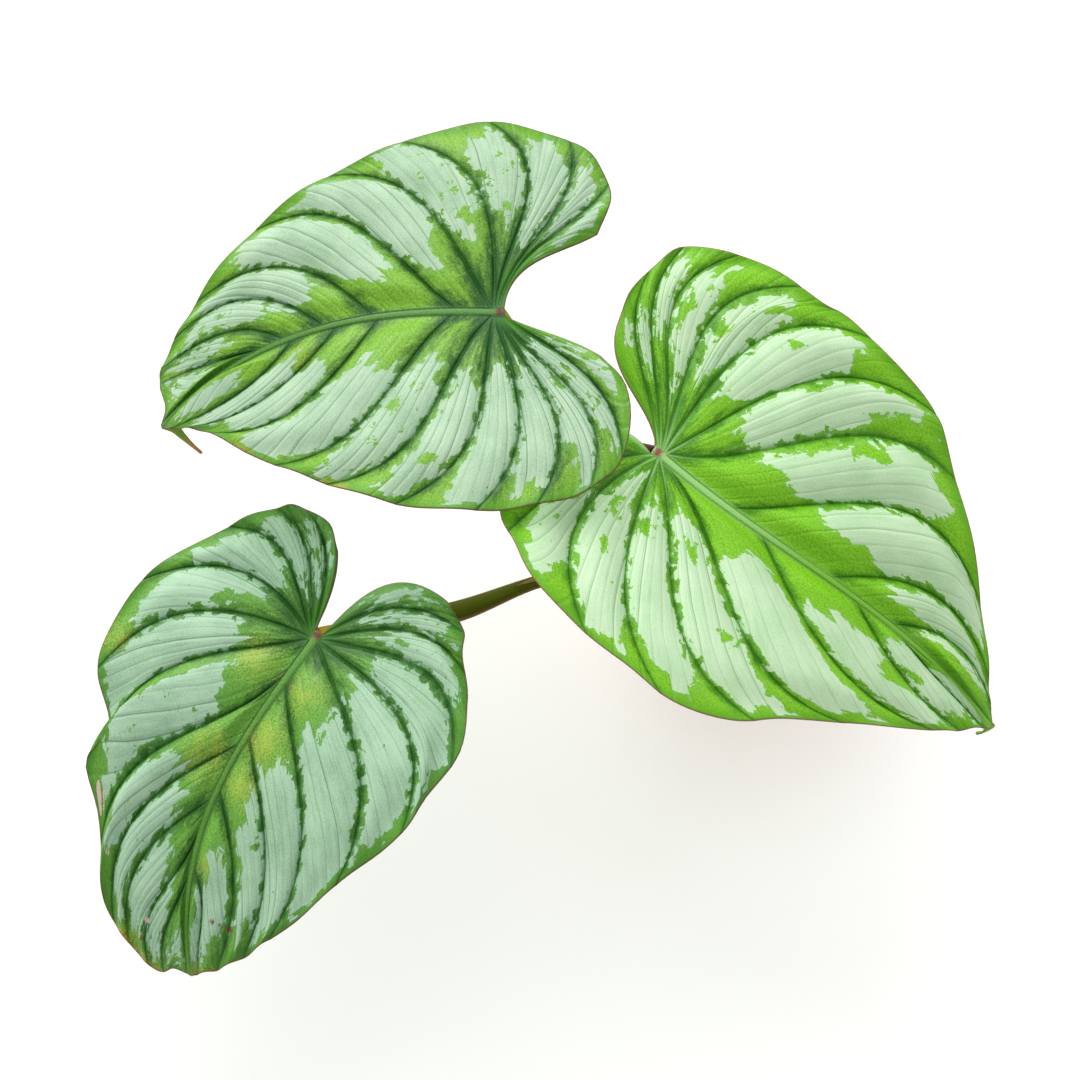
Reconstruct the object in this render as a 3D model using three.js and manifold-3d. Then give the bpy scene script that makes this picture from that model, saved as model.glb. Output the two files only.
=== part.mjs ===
// Potted philodendron mamei: three quilted heart-shaped leaves on long stalks, which grow from a
// creeping stem in a clay pot of soil. Millimetres, +Z up, origin under the middle of the pot.
import * as THREE from "three";
import { mergeVertices } from "three/addons/utils/BufferGeometryUtils.js";
import Module from "manifold-3d";

// The clay pot.
const POT_HEIGHT = 130;
const POT_FLOOR = 8;
const POT_BASE_RADIUS = 50;
const POT_SHOULDER_RADIUS = 69;
const POT_RIM_RADIUS = 75;
const POT_RIM_HEIGHT = 28;
const POT_MOUTH_RADIUS = 68;
const POT_INNER_BASE_RADIUS = 45;
const POT_SIDES = 48;
const DRAIN_RADIUS = 6;
const DRAIN_RING_RADIUS = 28;
const DRAIN_COUNT = 3;

// The soil, and the gap that keeps touching pieces apart.
const GAP = 0.35;
const SOIL_TOP = 116;
const SOIL_SWELL = 2.5;

// The creeping stem lies half in the soil. Its points run from the old end to the growing bud.
const STEM_POINTS = [
  [44, 30, 113],
  [24, 16, 117],
  [2, 2, 119],
  [-20, -10, 119],
  [-38, -24, 120],
  [-50, -36, 127],
];
const STEM_RADIUS = 11.5;
const STEM_NODE_SPACING = 17;
const STEM_NODE_RISE = 1.1;
const STEM_SIDES = 14;
const STEM_STEPS = 30;
const STEM_OLD_END = 0.06;
const STEM_BUD_START = 0.8;

// Where each blade meets its stalk.
const JOINT_1 = [-147, -8, 358];
const JOINT_2 = [-72, -65, 324];
const JOINT_3 = [-236, -133, 262];

// The leaf stalks: points from the creeping stem to the blade, and the side that faces up.
const STALK_SIDES = 12;
const STALK_STEPS = 24;
const TRIM_SIZE = 30;
const STALKS = [
  {
    name: "petiole_1",
    points: [
      [-3, 0, 121],
      [-26, -8, 150],
      [-72, -20, 210],
      [-109, -23, 280],
      [-136, -15, 338],
      JOINT_1,
    ],
    widths: [15, 12, 9.5, 8.5, 8.2, 7.5],
    faceUp: [0.55, 0.1, 1],
  },
  {
    name: "petiole_2",
    points: [
      [15, 11, 119],
      [5, 3, 150],
      [-29, -20, 215],
      [-63, -42, 275],
      [-79, -55, 308],
      JOINT_2,
    ],
    widths: [15, 12, 9.5, 8.5, 8.2, 7.5],
    faceUp: [0.5, 0.5, 1],
  },
  {
    name: "petiole_3",
    points: [
      [-22, -12, 121],
      [-49, -34, 155],
      [-91, -68, 205],
      [-130.5, -95, 240],
      [-169.5, -116.5, 253],
      [-211, -128, 260],
      JOINT_3,
    ],
    widths: [15, 12, 9, 7, 11, 10.5, 8.5],
    faceUp: [0.15, 0.15, 1],
  },
];

// The dry bract that lies along the upper side of the third stalk, from its foot to its free tip.
const BRACT_FROM = 0.05;
const BRACT_TO = 0.545;
const BRACT_THICKNESS = 0.8;
const BRACT_STEPS = 16;
const BRACT_ACROSS = 6;
const BRACT_FOOT_SPREAD = 2.5;
const BRACT_TIP_SPREAD = 0.5;

// The leaf blades.
const BLADE_THICKNESS = 1.1;
const EDGE_THICKNESS = 0.8;
const MIDRIB_WIDTH = 5;
const MIDRIB_TIP_WIDTH = 3;
const MIDRIB_KEEL = 2;
const VEIN_KEEL = 0.7;
const FOLD_ROUNDING = 6;
const QUILT_DEPTH = 0.11;
const COLUMNS_PER_PANEL = 4;
const ROWS = 9;

// Each blade is drawn flat first, with its joint to the stalk at 0, 0 and its midrib along x.
// Left and right are seen from above, from the joint to the tip, and y is the distance from the midrib's line.
// margin: points of the edge from the back lobe to the tip.
// veins: where each vein leaves the midrib (share of its length), where it ends (place in the margin's
// points), and how far it bows near the root and near the edge (share of its own length). The first row is
// the edge of the sinus between the back lobes, and the last one runs beside the midrib to the tip.
const LEAVES = [
  {
    name: "leaf_1",
    joint: JOINT_1,
    heading: 187,
    pitch: 6,
    roll: -1,
    length: 178,
    tipDrop: 63,
    backDrop: 10,
    fold: 0.15,
    sideDrop: 11,
    wave: 1.2,
    bow: [-0.076, -0.15, -0.006],
    tail: [
      [173, -2.5, -68.5],
      [170, -1, -76.5],
      [167.5, 0, -85],
      [164.5, 1, -94],
    ],
    tailWidth: 2.4,
    left: {
      margin: [
        [-44, 32], [-53, 49], [-53, 70], [-44, 90], [-28, 100], [-7, 103],
        [21, 101], [58, 89], [95, 66], [129, 39], [154, 14], [177, 0.5],
      ],
      veins: [
        [-0.012, 0, -0.02, 0.05],
        [-0.006, 2.73, 0.08, 0.23],
        [-0.001, 3.88, 0.02, 0.32],
        [0.005, 5.04, 0.06, 0.33],
        [0.011, 6.04, 0.1, 0.31],
        [0.016, 7.04, 0.09, 0.37],
        [0.022, 7.9, 0, 0.37],
        [0.128, 8.6, 0.02, 0.33],
        [0.33, 9.85, 0.2, 0.36],
        [0.447, 10.35, 0.2, 0.25],
        [0.578, 10.75, 0.2, 0.15],
        [0.95, 11, 0, 0],
      ],
    },
    right: {
      margin: [
        [-51, 33], [-60, 49], [-58, 66], [-51, 79], [-33, 92], [-10, 102], [17, 103], [53, 98],
        [90, 90], [127, 74], [155, 52], [173, 32], [176, 22], [174, 10], [177, 2.5],
      ],
      veins: [
        [-0.012, 0, -0.3, -0.03],
        [-0.005, 1.5, -0.2, 0.06],
        [0.002, 3.4, -0.07, 0.24],
        [0.008, 5.1, 0.02, 0.4],
        [0.015, 6.55, 0.18, 0.35],
        [0.022, 7.6, 0.1, 0.28],
        [0.123, 8.7, 0.06, 0.31],
        [0.349, 9.85, 0.2, 0.29],
        [0.492, 10.5, 0.22, 0.28],
        [0.611, 11.2, 0.23, 0.14],
        [0.688, 11.95, 0, 0.04],
        [0.95, 14, 0, 0],
      ],
    },
  },
  {
    name: "leaf_2",
    joint: JOINT_2,
    heading: -31.5,
    pitch: 14,
    roll: 0,
    length: 209,
    tipDrop: 37,
    backDrop: 8,
    fold: 0.22,
    sideDrop: 2,
    wave: 1.2,
    bow: [-0.046, 0.048, -0.02],
    tail: [
      [210.5, -4.7, -39.7],
      [210.2, -6, -43],
      [209, -7.2, -45],
      [207.5, -8, -46.5],
    ],
    tailWidth: 2.2,
    left: {
      margin: [
        [-50, 40], [-54, 57], [-51, 75], [-45, 90], [-29, 98], [-7, 105], [25, 105], [39, 107],
        [65, 103], [96, 98], [114, 87], [143, 65], [168, 42], [187, 23], [202, 6], [210, -2.7],
      ],
      veins: [
        [-0.012, 0, -0.07, 0.22],
        [-0.007, 1.8, 0, 0.22],
        [-0.002, 3.05, 0, 0.27],
        [0.003, 4.45, 0, 0.45],
        [0.007, 5.6, 0.1, 0.44],
        [0.012, 7.65, 0.16, 0.39],
        [0.017, 9.3, 0.12, 0.32],
        [0.022, 10.5, -0.05, 0.27],
        [0.22, 12.2, 0.1, 0.4],
        [0.497, 13.55, 0.23, 0.3],
        [0.68, 14.2, 0.24, 0.24],
        [0.95, 15, 0, 0],
      ],
    },
    right: {
      margin: [
        [-45, 18], [-54, 41], [-53, 60], [-45, 76], [-34, 83], [-17, 95], [8, 101], [38, 104],
        [67, 105], [96, 95], [118, 76], [151, 53], [190, 24], [203, 11], [210, 5.5],
      ],
      veins: [
        [-0.012, 0, 0.3, 0.15],
        [-0.005, 3.75, 0.17, 0.08],
        [0.002, 6.35, 0.26, 0.34],
        [0.008, 7.8, 0.12, 0.25],
        [0.015, 9.4, 0.03, 0.33],
        [0.022, 10.75, -0.06, 0.33],
        [0.311, 11.8, 0.15, 0.25],
        [0.579, 12.35, 0.11, 0.15],
        [0.713, 13.5, 0.05, 0.01],
        [0.95, 14, 0, 0],
      ],
    },
  },
  {
    name: "leaf_3",
    joint: JOINT_3,
    heading: -119,
    pitch: 8,
    roll: 7,
    length: 168,
    tipDrop: 59,
    backDrop: 8,
    fold: 0.15,
    sideDrop: 10,
    wave: 2,
    bow: [-0.037, -0.148, 0.048],
    tail: [
      [168, 7.5, -61],
      [166.5, 6.5, -63.5],
      [164.5, 5, -65.5],
    ],
    tailWidth: 2.4,
    left: {
      margin: [
        [-42, 51], [-32, 66], [-19, 73], [-3, 85], [19, 94], [45, 89],
        [64, 87], [91, 72], [124, 53], [153, 30], [168, 9.4],
      ],
      veins: [
        [-0.012, 0, 0.26, 0.45],
        [-0.005, 1, 0.23, 0.26],
        [0.002, 2.3, 0.14, 0.3],
        [0.008, 4.35, 0.18, 0.45],
        [0.015, 6.1, 0.17, 0.37],
        [0.022, 7.3, 0.1, 0.28],
        [0.171, 8.4, 0.07, 0.26],
        [0.353, 8.85, 0.1, 0.22],
        [0.523, 9.4, 0.13, 0.2],
        [0.744, 9.85, 0.2, 0],
        [0.95, 10, 0, 0],
      ],
    },
    right: {
      margin: [
        [-42, 13], [-52, 23], [-54, 37], [-49, 51], [-34, 64], [-12, 80], [15, 93], [43, 97], [63, 92],
        [81, 77], [93, 75], [105, 78], [121, 65], [139, 55], [160, 43], [172, 18], [173, 6], [169, 1],
        [168, -6.5],
      ],
      veins: [
        [-0.012, 0, 0.06, 0.1],
        [-0.006, 2.1, 0.11, 0.24],
        [-0.001, 3.1, 0.06, 0.25],
        [0.005, 4.3, 0.1, 0.37],
        [0.011, 6, 0.28, 0.29],
        [0.016, 8, 0.21, 0.29],
        [0.022, 9.4, 0.06, 0.24],
        [0.161, 12.8, -0.04, 0.28],
        [0.387, 14.2, 0.14, 0.32],
        [0.556, 14.65, 0.15, 0.33],
        [0.653, 15.3, -0.05, 0.3],
        [0.775, 16.15, 0.03, 0.2],
        [0.95, 18, 0, 0],
      ],
    },
  },
];

const wasm = await Module();
wasm.setup();

// Smooth curve through evenly counted points. A place of 2.5 is halfway from the third to the fourth.
function splineAt(points, place) {
  const last = points.length - 1;
  const start = Math.min(Math.max(Math.floor(place), 0), last - 1);
  const t = place - start;
  const at = (i) => {
    if (i < 0) return points[0].map((x, k) => 2 * x - points[1][k]);
    if (i > last) return points[last].map((x, k) => 2 * x - points[last - 1][k]);
    return points[i];
  };
  const [a, b, c, d] = [at(start - 1), at(start), at(start + 1), at(start + 2)];
  return b.map((x, k) => {
    const slope = c[k] - a[k];
    const bend = 2 * a[k] - 5 * x + 4 * c[k] - d[k];
    const turn = 3 * x - a[k] - 3 * c[k] + d[k];
    return x + 0.5 * (slope * t + bend * t * t + turn * t * t * t);
  });
}

// Straight blend between the rows of a table.
function blendRows(rows, place) {
  const start = Math.min(Math.floor(place), rows.length - 2);
  const t = place - start;
  return rows[start].map((x, k) => x + t * (rows[start + 1][k] - x));
}

function ramp(x, low, high) {
  const t = Math.min(Math.max((x - low) / (high - low), 0), 1);
  return t * t * (3 - 2 * t);
}

// Sideways place of the midrib, seen from above.
function midribSide(leaf, x) {
  const t = Math.min(Math.max(x / leaf.length, 0), 1);
  const [near, far, end] = leaf.bow;
  return leaf.length * (3 * t * (1 - t) ** 2 * near + 3 * t * t * (1 - t) * far + t ** 3 * end);
}

// A place in one half of the flat blade: column counts veins from the sinus, share runs from root to edge.
function flatPoint(leaf, sideName, column, share) {
  const side = leaf[sideName];
  const hand = sideName === "left" ? 1 : -1;
  const [root, place, near, far] = blendRows(side.veins, column);
  const rootX = root * leaf.length;
  const halfRib = 0.5 * (MIDRIB_WIDTH + (MIDRIB_TIP_WIDTH - MIDRIB_WIDTH) * Math.max(root, 0));
  const rootY = hand * midribSide(leaf, rootX) + halfRib;
  const [endX, endY] = splineAt(side.margin, place);
  const alongX = endX - rootX;
  const alongY = endY - rootY;
  const t = share;
  const aside = 3 * t * (1 - t) ** 2 * near + 3 * t * t * (1 - t) * far;
  const x = rootX + t * alongX - aside * alongY;
  const y = rootY + t * alongY + aside * alongX;
  return [x, hand * y];
}

// Height of the smooth blade over its own plane: it arches to the tip, folds up from the midrib and
// drops again at its sides.
function bladeHeight(leaf, x, y) {
  const drop = x > 0 ? leaf.tipDrop : leaf.backDrop;
  const away = y - midribSide(leaf, x);
  const arch = -drop * (x / leaf.length) ** 2;
  const fold = leaf.fold * (Math.hypot(away, FOLD_ROUNDING) - FOLD_ROUNDING);
  return arch + fold - leaf.sideDrop * (away / 100) ** 2;
}

// Height of the quilting: the panels between two veins stand up, and the edge waves a little.
function quiltHeight(leaf, sideName, column, share) {
  const panel = Math.min(Math.floor(column), leaf[sideName].veins.length - 2);
  const [ax, ay] = flatPoint(leaf, sideName, panel, share);
  const [bx, by] = flatPoint(leaf, sideName, panel + 1, share);
  const width = Math.hypot(bx - ax, by - ay);
  const bulge = Math.abs(Math.sin(Math.PI * column)) ** 0.8;
  const fade = ramp(share, 0, 0.15) * (1 - 0.75 * ramp(share, 0.7, 1));
  const toTip = Math.min((leaf[sideName].veins.length - 1 - column) / 2, 1);
  const wave = leaf.wave * share ** 4 * toTip * Math.sin(5.2 * column + leaf.heading);
  return QUILT_DEPTH * width * bulge * fade + wave;
}

// Turns a blade's own x, y and height into the part's frame.
function bladeMatrix(leaf) {
  const heading = THREE.MathUtils.degToRad(leaf.heading);
  const pitch = THREE.MathUtils.degToRad(leaf.pitch);
  const roll = THREE.MathUtils.degToRad(leaf.roll);
  const matrix = new THREE.Matrix4().makeRotationZ(heading);
  matrix.multiply(new THREE.Matrix4().makeRotationY(pitch));
  matrix.multiply(new THREE.Matrix4().makeRotationX(roll));
  matrix.setPosition(...leaf.joint);
  return matrix;
}

// Collects pairs of upper and lower points and the triangles of the upper face, and closes them to a solid.
class Sheet {
  constructor() {
    this.upper = [];
    this.lower = [];
    this.faces = [];
  }

  add(upper, lower) {
    this.upper.push(upper);
    this.lower.push(lower);
    return this.upper.length - 1;
  }

  face(a, b, c) {
    this.faces.push([a, b, c]);
  }

  // Two triangles of a four-sided field, turned over for the right half.
  field(a, b, c, d, flipped) {
    if (flipped) {
      this.face(a, c, b);
      this.face(a, d, c);
    } else {
      this.face(a, b, c);
      this.face(a, c, d);
    }
  }

  geometry() {
    const count = this.upper.length;
    const index = [];
    const edges = new Map();
    for (const [a, b, c] of this.faces) {
      index.push(a, b, c, count + a, count + c, count + b);
      for (const [from, to] of [[a, b], [b, c], [c, a]]) {
        const back = `${to},${from}`;
        if (edges.has(back)) edges.delete(back);
        else edges.set(`${from},${to}`, [from, to]);
      }
    }
    for (const [from, to] of edges.values()) {
      index.push(from, count + from, to, to, count + from, count + to);
    }
    const geometry = new THREE.BufferGeometry();
    const points = [...this.upper, ...this.lower].flatMap((p) => p.toArray());
    geometry.setAttribute("position", new THREE.Float32BufferAttribute(points, 3));
    geometry.setIndex(index);
    return geometry;
  }
}

// One half of a blade: a grid of columns along the veins and rows from the midrib to the edge.
function addHalf(sheet, leaf, sideName, matrix) {
  const panels = leaf[sideName].veins.length - 1;
  const columns = panels * COLUMNS_PER_PANEL;
  const grid = [];
  for (let i = 0; i <= columns; i++) {
    const column = i / COLUMNS_PER_PANEL;
    const onVein = i % COLUMNS_PER_PANEL === 0 && i > 0;
    const line = [];
    for (let j = 0; j <= ROWS; j++) {
      const share = j / ROWS;
      const [x, y] = flatPoint(leaf, sideName, column, share);
      const top = bladeHeight(leaf, x, y) + quiltHeight(leaf, sideName, column, share);
      const keel = j === 0 ? MIDRIB_KEEL * (1 - Math.max(x, 0) / leaf.length) : 0;
      const rib = onVein && j > 0 ? VEIN_KEEL * (1 - share) : 0;
      const blade = BLADE_THICKNESS + (EDGE_THICKNESS - BLADE_THICKNESS) * share ** 3;
      const thick = blade + keel + rib;
      const upper = new THREE.Vector3(x, y, top).applyMatrix4(matrix);
      const lower = new THREE.Vector3(x, y, top - thick).applyMatrix4(matrix);
      line.push({ id: sheet.add(upper, lower), x });
    }
    grid.push(line);
  }
  const flipped = sideName === "right";
  for (let i = 0; i < columns; i++) {
    for (let j = 0; j < ROWS; j++) {
      sheet.field(grid[i][j].id, grid[i + 1][j].id, grid[i + 1][j + 1].id, grid[i][j + 1].id, flipped);
    }
  }
  // The inner border of this half: the roots of all columns, then the last column out to the tip.
  return [...grid.map((line) => line[0]), ...grid[columns].slice(1)];
}

// The midrib between the two halves, as one strip of triangles.
function addMidrib(sheet, left, right) {
  let i = 0;
  let j = 0;
  while (i < left.length - 1 || j < right.length - 1) {
    const leftNext = i < left.length - 1 ? left[i + 1].x : Infinity;
    const rightNext = j < right.length - 1 ? right[j + 1].x : Infinity;
    if (leftNext < rightNext) {
      sheet.face(right[j].id, left[i + 1].id, left[i].id);
      i += 1;
    } else {
      sheet.face(right[j].id, right[j + 1].id, left[i].id);
      j += 1;
    }
  }
}

// The narrow drip tip that hangs from the end of a blade.
function addTail(sheet, leaf, matrix, leftEnd, rightEnd) {
  let [before, after] = [leftEnd.id, rightEnd.id];
  const path = [[leaf.length, midribSide(leaf, leaf.length), -leaf.tipDrop], ...leaf.tail];
  const steps = 3 * leaf.tail.length;
  const stepLength = leaf.tail.length / steps;
  for (let k = 1; k <= steps; k++) {
    const place = k * stepLength;
    const middle = new THREE.Vector3(...splineAt(path, place));
    const behind = new THREE.Vector3(...splineAt(path, place - stepLength));
    const along = middle.clone().sub(behind).normalize();
    const aside = new THREE.Vector3(0, 1, 0).projectOnPlane(along).normalize();
    const out = along.clone().cross(aside);
    const width = leaf.tailWidth * (1 - 0.6 * (k / steps));
    const corners = [0.5, -0.5].map((half) => {
      const upper = middle.clone().addScaledVector(aside, half * width);
      const lower = upper.clone().addScaledVector(out, -EDGE_THICKNESS);
      return sheet.add(upper.applyMatrix4(matrix), lower.applyMatrix4(matrix));
    });
    sheet.field(after, corners[1], corners[0], before, false);
    [before, after] = corners;
  }
}

function leafBlade(leaf) {
  const sheet = new Sheet();
  const matrix = bladeMatrix(leaf);
  const left = addHalf(sheet, leaf, "left", matrix);
  const right = addHalf(sheet, leaf, "right", matrix);
  addMidrib(sheet, left, right);
  addTail(sheet, leaf, matrix, left[left.length - 1], right[right.length - 1]);
  return sheet.geometry();
}

// Closes a row of rings to a solid with a fan at each end.
function loft(rings) {
  const sides = rings[0].length;
  const points = rings.flat();
  const index = [];
  for (let i = 0; i < rings.length - 1; i++) {
    for (let j = 0; j < sides; j++) {
      const [a, b] = [i * sides + j, i * sides + ((j + 1) % sides)];
      index.push(a, b, b + sides, a, b + sides, a + sides);
    }
  }
  const ends = [rings[0], rings[rings.length - 1]];
  ends.forEach((ring, end) => {
    const middle = ring.reduce((sum, p) => sum.add(p), new THREE.Vector3()).divideScalar(sides);
    const centre = points.push(middle) - 1;
    const first = end === 0 ? 0 : (rings.length - 1) * sides;
    for (let j = 0; j < sides; j++) {
      const [a, b] = [first + j, first + ((j + 1) % sides)];
      if (end === 0) index.push(centre, b, a);
      else index.push(centre, a, b);
    }
  });
  const geometry = new THREE.BufferGeometry();
  const coordinates = points.flatMap((p) => p.toArray());
  geometry.setAttribute("position", new THREE.Float32BufferAttribute(coordinates, 3));
  geometry.setIndex(index);
  return geometry;
}

// The frame of a curve at a place in its points: middle, direction, side to side, and the upper side.
function frameAt(points, place, faceUp) {
  const reach = 0.05;
  const low = Math.max(place - reach, 0);
  const high = Math.min(place + reach, points.length - 1);
  const middle = new THREE.Vector3(...splineAt(points, place));
  const before = new THREE.Vector3(...splineAt(points, low));
  const along = new THREE.Vector3(...splineAt(points, high)).sub(before).normalize();
  const up = new THREE.Vector3(...faceUp).projectOnPlane(along).normalize();
  const aside = up.clone().cross(along);
  return { middle, along, up, aside };
}

// A point on a stalk: flat above and round below. Angle 0 is its side, and 90 degrees its upper middle.
function stalkPoint(stalk, share, angle, grow) {
  const place = share * (stalk.points.length - 1);
  const { middle, up, aside } = frameAt(stalk.points, place, stalk.faceUp);
  const width = splineAt(stalk.widths.map((w) => [w]), place)[0];
  const half = width / 2 + grow;
  const rise = (Math.sin(angle) > 0 ? 0.62 : 0.95) * (width / 2) + grow;
  return middle
    .clone()
    .addScaledVector(aside, half * Math.cos(angle))
    .addScaledVector(up, rise * Math.sin(angle));
}

function stalk(shape, grow = 0) {
  const rings = [];
  for (let i = 0; i <= STALK_STEPS; i++) {
    const ring = [];
    for (let j = 0; j < STALK_SIDES; j++) {
      ring.push(stalkPoint(shape, i / STALK_STEPS, (2 * Math.PI * j) / STALK_SIDES, grow));
    }
    rings.push(ring);
  }
  return loft(rings);
}

// The creeping stem: rings of old leaf scars, a blunt old end and a tapering bud.
function creepingStem(grow = 0) {
  const last = STEM_POINTS.length - 1;
  const rings = [];
  let run = 0;
  let before = null;
  for (let i = 0; i <= STEM_STEPS; i++) {
    const share = i / STEM_STEPS;
    const { middle, up, aside } = frameAt(STEM_POINTS, share * last, [0, 0, 1]);
    if (before) run += middle.distanceTo(before);
    before = middle;
    const scar = Math.cos((2 * Math.PI * run) / STEM_NODE_SPACING) ** 8;
    const blunt = 0.75 + 0.25 * ramp(share, 0, STEM_OLD_END);
    const bud = 1 - 0.72 * ramp(share, STEM_BUD_START, 1);
    const radius = (STEM_RADIUS + STEM_NODE_RISE * scar) * blunt * bud + grow;
    const ring = [];
    for (let j = 0; j < STEM_SIDES; j++) {
      const angle = (2 * Math.PI * j) / STEM_SIDES;
      ring.push(
        middle
          .clone()
          .addScaledVector(aside, radius * Math.cos(angle))
          .addScaledVector(up, radius * Math.sin(angle)),
      );
    }
    rings.push(ring);
  }
  return loft(rings);
}

// The bract is a thin curved strip over the upper side of its stalk, wide at the foot and pointed at the tip.
function bract(shape) {
  const sheet = new Sheet();
  const lines = [];
  for (let i = 0; i <= BRACT_STEPS; i++) {
    const t = i / BRACT_STEPS;
    const share = BRACT_FROM + (BRACT_TO - BRACT_FROM) * t;
    const spread = BRACT_FOOT_SPREAD + (BRACT_TIP_SPREAD - BRACT_FOOT_SPREAD) * ramp(t, 0, 1);
    const line = [];
    for (let j = 0; j <= BRACT_ACROSS; j++) {
      const angle = Math.PI / 2 + spread * (j / BRACT_ACROSS - 0.5);
      const upper = stalkPoint(shape, share, angle, GAP + 0.15 + BRACT_THICKNESS);
      const lower = stalkPoint(shape, share, angle, GAP + 0.15);
      line.push(sheet.add(upper, lower));
    }
    lines.push(line);
  }
  for (let i = 0; i < BRACT_STEPS; i++) {
    for (let j = 0; j < BRACT_ACROSS; j++) {
      sheet.field(lines[i][j], lines[i][j + 1], lines[i + 1][j + 1], lines[i + 1][j], false);
    }
  }
  return sheet.geometry();
}

function toSolid(geometry) {
  const plain = geometry.clone();
  plain.deleteAttribute("normal");
  plain.deleteAttribute("uv");
  const merged = mergeVertices(plain, 1e-3);
  const mesh = new wasm.Mesh({
    numProp: 3,
    vertProperties: merged.attributes.position.array,
    triVerts: new Uint32Array(merged.index.array),
  });
  return new wasm.Manifold(mesh);
}

function toGeometry(solid) {
  const mesh = solid.getMesh();
  const geometry = new THREE.BufferGeometry();
  geometry.setAttribute("position", new THREE.BufferAttribute(mesh.vertProperties, 3));
  geometry.setIndex(new THREE.BufferAttribute(mesh.triVerts, 1));
  return geometry;
}

// Turns a profile of radius and height round the pot's axis.
function turned(profile, sides) {
  const points = profile.map(([radius, height]) => new THREE.Vector2(radius, height));
  const geometry = new THREE.LatheGeometry(points, sides);
  return geometry.rotateX(Math.PI / 2);
}

function innerRadius(height) {
  const share = (height - POT_FLOOR) / (POT_HEIGHT - POT_FLOOR);
  return POT_INNER_BASE_RADIUS + share * (POT_MOUTH_RADIUS - POT_INNER_BASE_RADIUS);
}

function pot() {
  const shoulder = POT_HEIGHT - POT_RIM_HEIGHT;
  const profile = [
    [0, 0],
    [POT_BASE_RADIUS - 1.5, 0],
    [POT_BASE_RADIUS, 1.5],
    [POT_SHOULDER_RADIUS, shoulder - 1],
    [POT_RIM_RADIUS - 2.5, shoulder],
    [POT_RIM_RADIUS - 1, shoulder + 2],
    [POT_RIM_RADIUS, POT_HEIGHT - 2],
    [POT_RIM_RADIUS - 1.5, POT_HEIGHT],
    [POT_MOUTH_RADIUS + 1.5, POT_HEIGHT],
    [innerRadius(POT_HEIGHT - 2), POT_HEIGHT - 2],
    [POT_INNER_BASE_RADIUS, POT_FLOOR],
    [0, POT_FLOOR],
  ];
  let clay = toSolid(turned(profile, POT_SIDES));
  for (let i = 0; i < DRAIN_COUNT; i++) {
    const angle = (2 * Math.PI * (i + 0.5)) / DRAIN_COUNT;
    const drain = new THREE.CylinderGeometry(DRAIN_RADIUS, DRAIN_RADIUS, 4 * POT_FLOOR, 16);
    drain.rotateX(Math.PI / 2);
    drain.translate(DRAIN_RING_RADIUS * Math.cos(angle), DRAIN_RING_RADIUS * Math.sin(angle), 0);
    clay = clay.subtract(toSolid(drain));
  }
  return toGeometry(clay);
}

// Soil with a slightly uneven top, and room for the stem and the feet of the stalks.
function soil() {
  const bottom = POT_FLOOR + GAP;
  const profile = [
    [0, bottom],
    [innerRadius(bottom) - GAP, bottom],
    [innerRadius(SOIL_TOP) - GAP, SOIL_TOP],
    [48, SOIL_TOP + 1],
    [32, SOIL_TOP + 1.5],
    [16, SOIL_TOP + 2],
    [0, SOIL_TOP + 2],
  ];
  const heap = turned(profile, POT_SIDES / 2);
  const place = heap.attributes.position;
  for (let i = 0; i < place.count; i++) {
    const [x, y, z] = [place.getX(i), place.getY(i), place.getZ(i)];
    if (z > SOIL_TOP + 0.5) {
      const uneven = Math.sin(0.11 * x + 0.6) * Math.cos(0.13 * y - 0.4);
      place.setZ(i, z + 0.5 * SOIL_SWELL * uneven);
    }
  }
  let earth = toSolid(heap).subtract(toSolid(creepingStem(GAP)));
  for (const shape of STALKS) earth = earth.subtract(toSolid(stalk(shape, GAP)));
  const largest = earth.decompose().sort((a, b) => b.volume() - a.volume())[0];
  return toGeometry(largest);
}

// A stalk stands on the creeping stem, so its foot is cut to the stem's surface. Its top is cut flat, just
// under the keel of its blade.
function seatedStalk(shape, leaf) {
  const room = new THREE.BoxGeometry(TRIM_SIZE, TRIM_SIZE, TRIM_SIZE);
  room.translate(0, 0, TRIM_SIZE / 2 - BLADE_THICKNESS - MIDRIB_KEEL - GAP);
  room.applyMatrix4(bladeMatrix(leaf));
  const cut = toSolid(stalk(shape)).subtract(toSolid(creepingStem(GAP))).subtract(toSolid(room));
  const largest = cut.decompose().sort((a, b) => b.volume() - a.volume())[0];
  return toGeometry(largest);
}

const group = new THREE.Group();

function addPiece(name, geometry, color, roughness) {
  const material = new THREE.MeshStandardMaterial({ color, roughness, metalness: 0 });
  const mesh = new THREE.Mesh(geometry, material);
  mesh.name = name;
  group.add(mesh);
}

addPiece("pot", pot(), 0xb4683f, 0.9);
addPiece("soil", soil(), 0x3a2a1e, 1);
addPiece("rhizome", creepingStem(), 0x6b6a35, 0.7);
STALKS.forEach((shape, i) => addPiece(shape.name, seatedStalk(shape, LEAVES[i]), 0x6b5d1d, 0.5));
addPiece("bract_3", bract(STALKS[2]), 0x8a6a2c, 0.8);
const leafColors = [0x5f9a4c, 0x7cb935, 0x578f4a];
LEAVES.forEach((leaf, i) => addPiece(leaf.name, leafBlade(leaf), leafColors[i], 0.45));

export default group;
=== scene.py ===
# %% [markdown]
# # A potted philodendron mamei
# The plant has three large heart-shaped leaves on long stalks, over a plain clay pot.
# Each leaf is quilted between its veins and splashed with silver.
# The measured part gives every size. Here each node gets a finer skin and a finish made of nodes.

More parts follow.
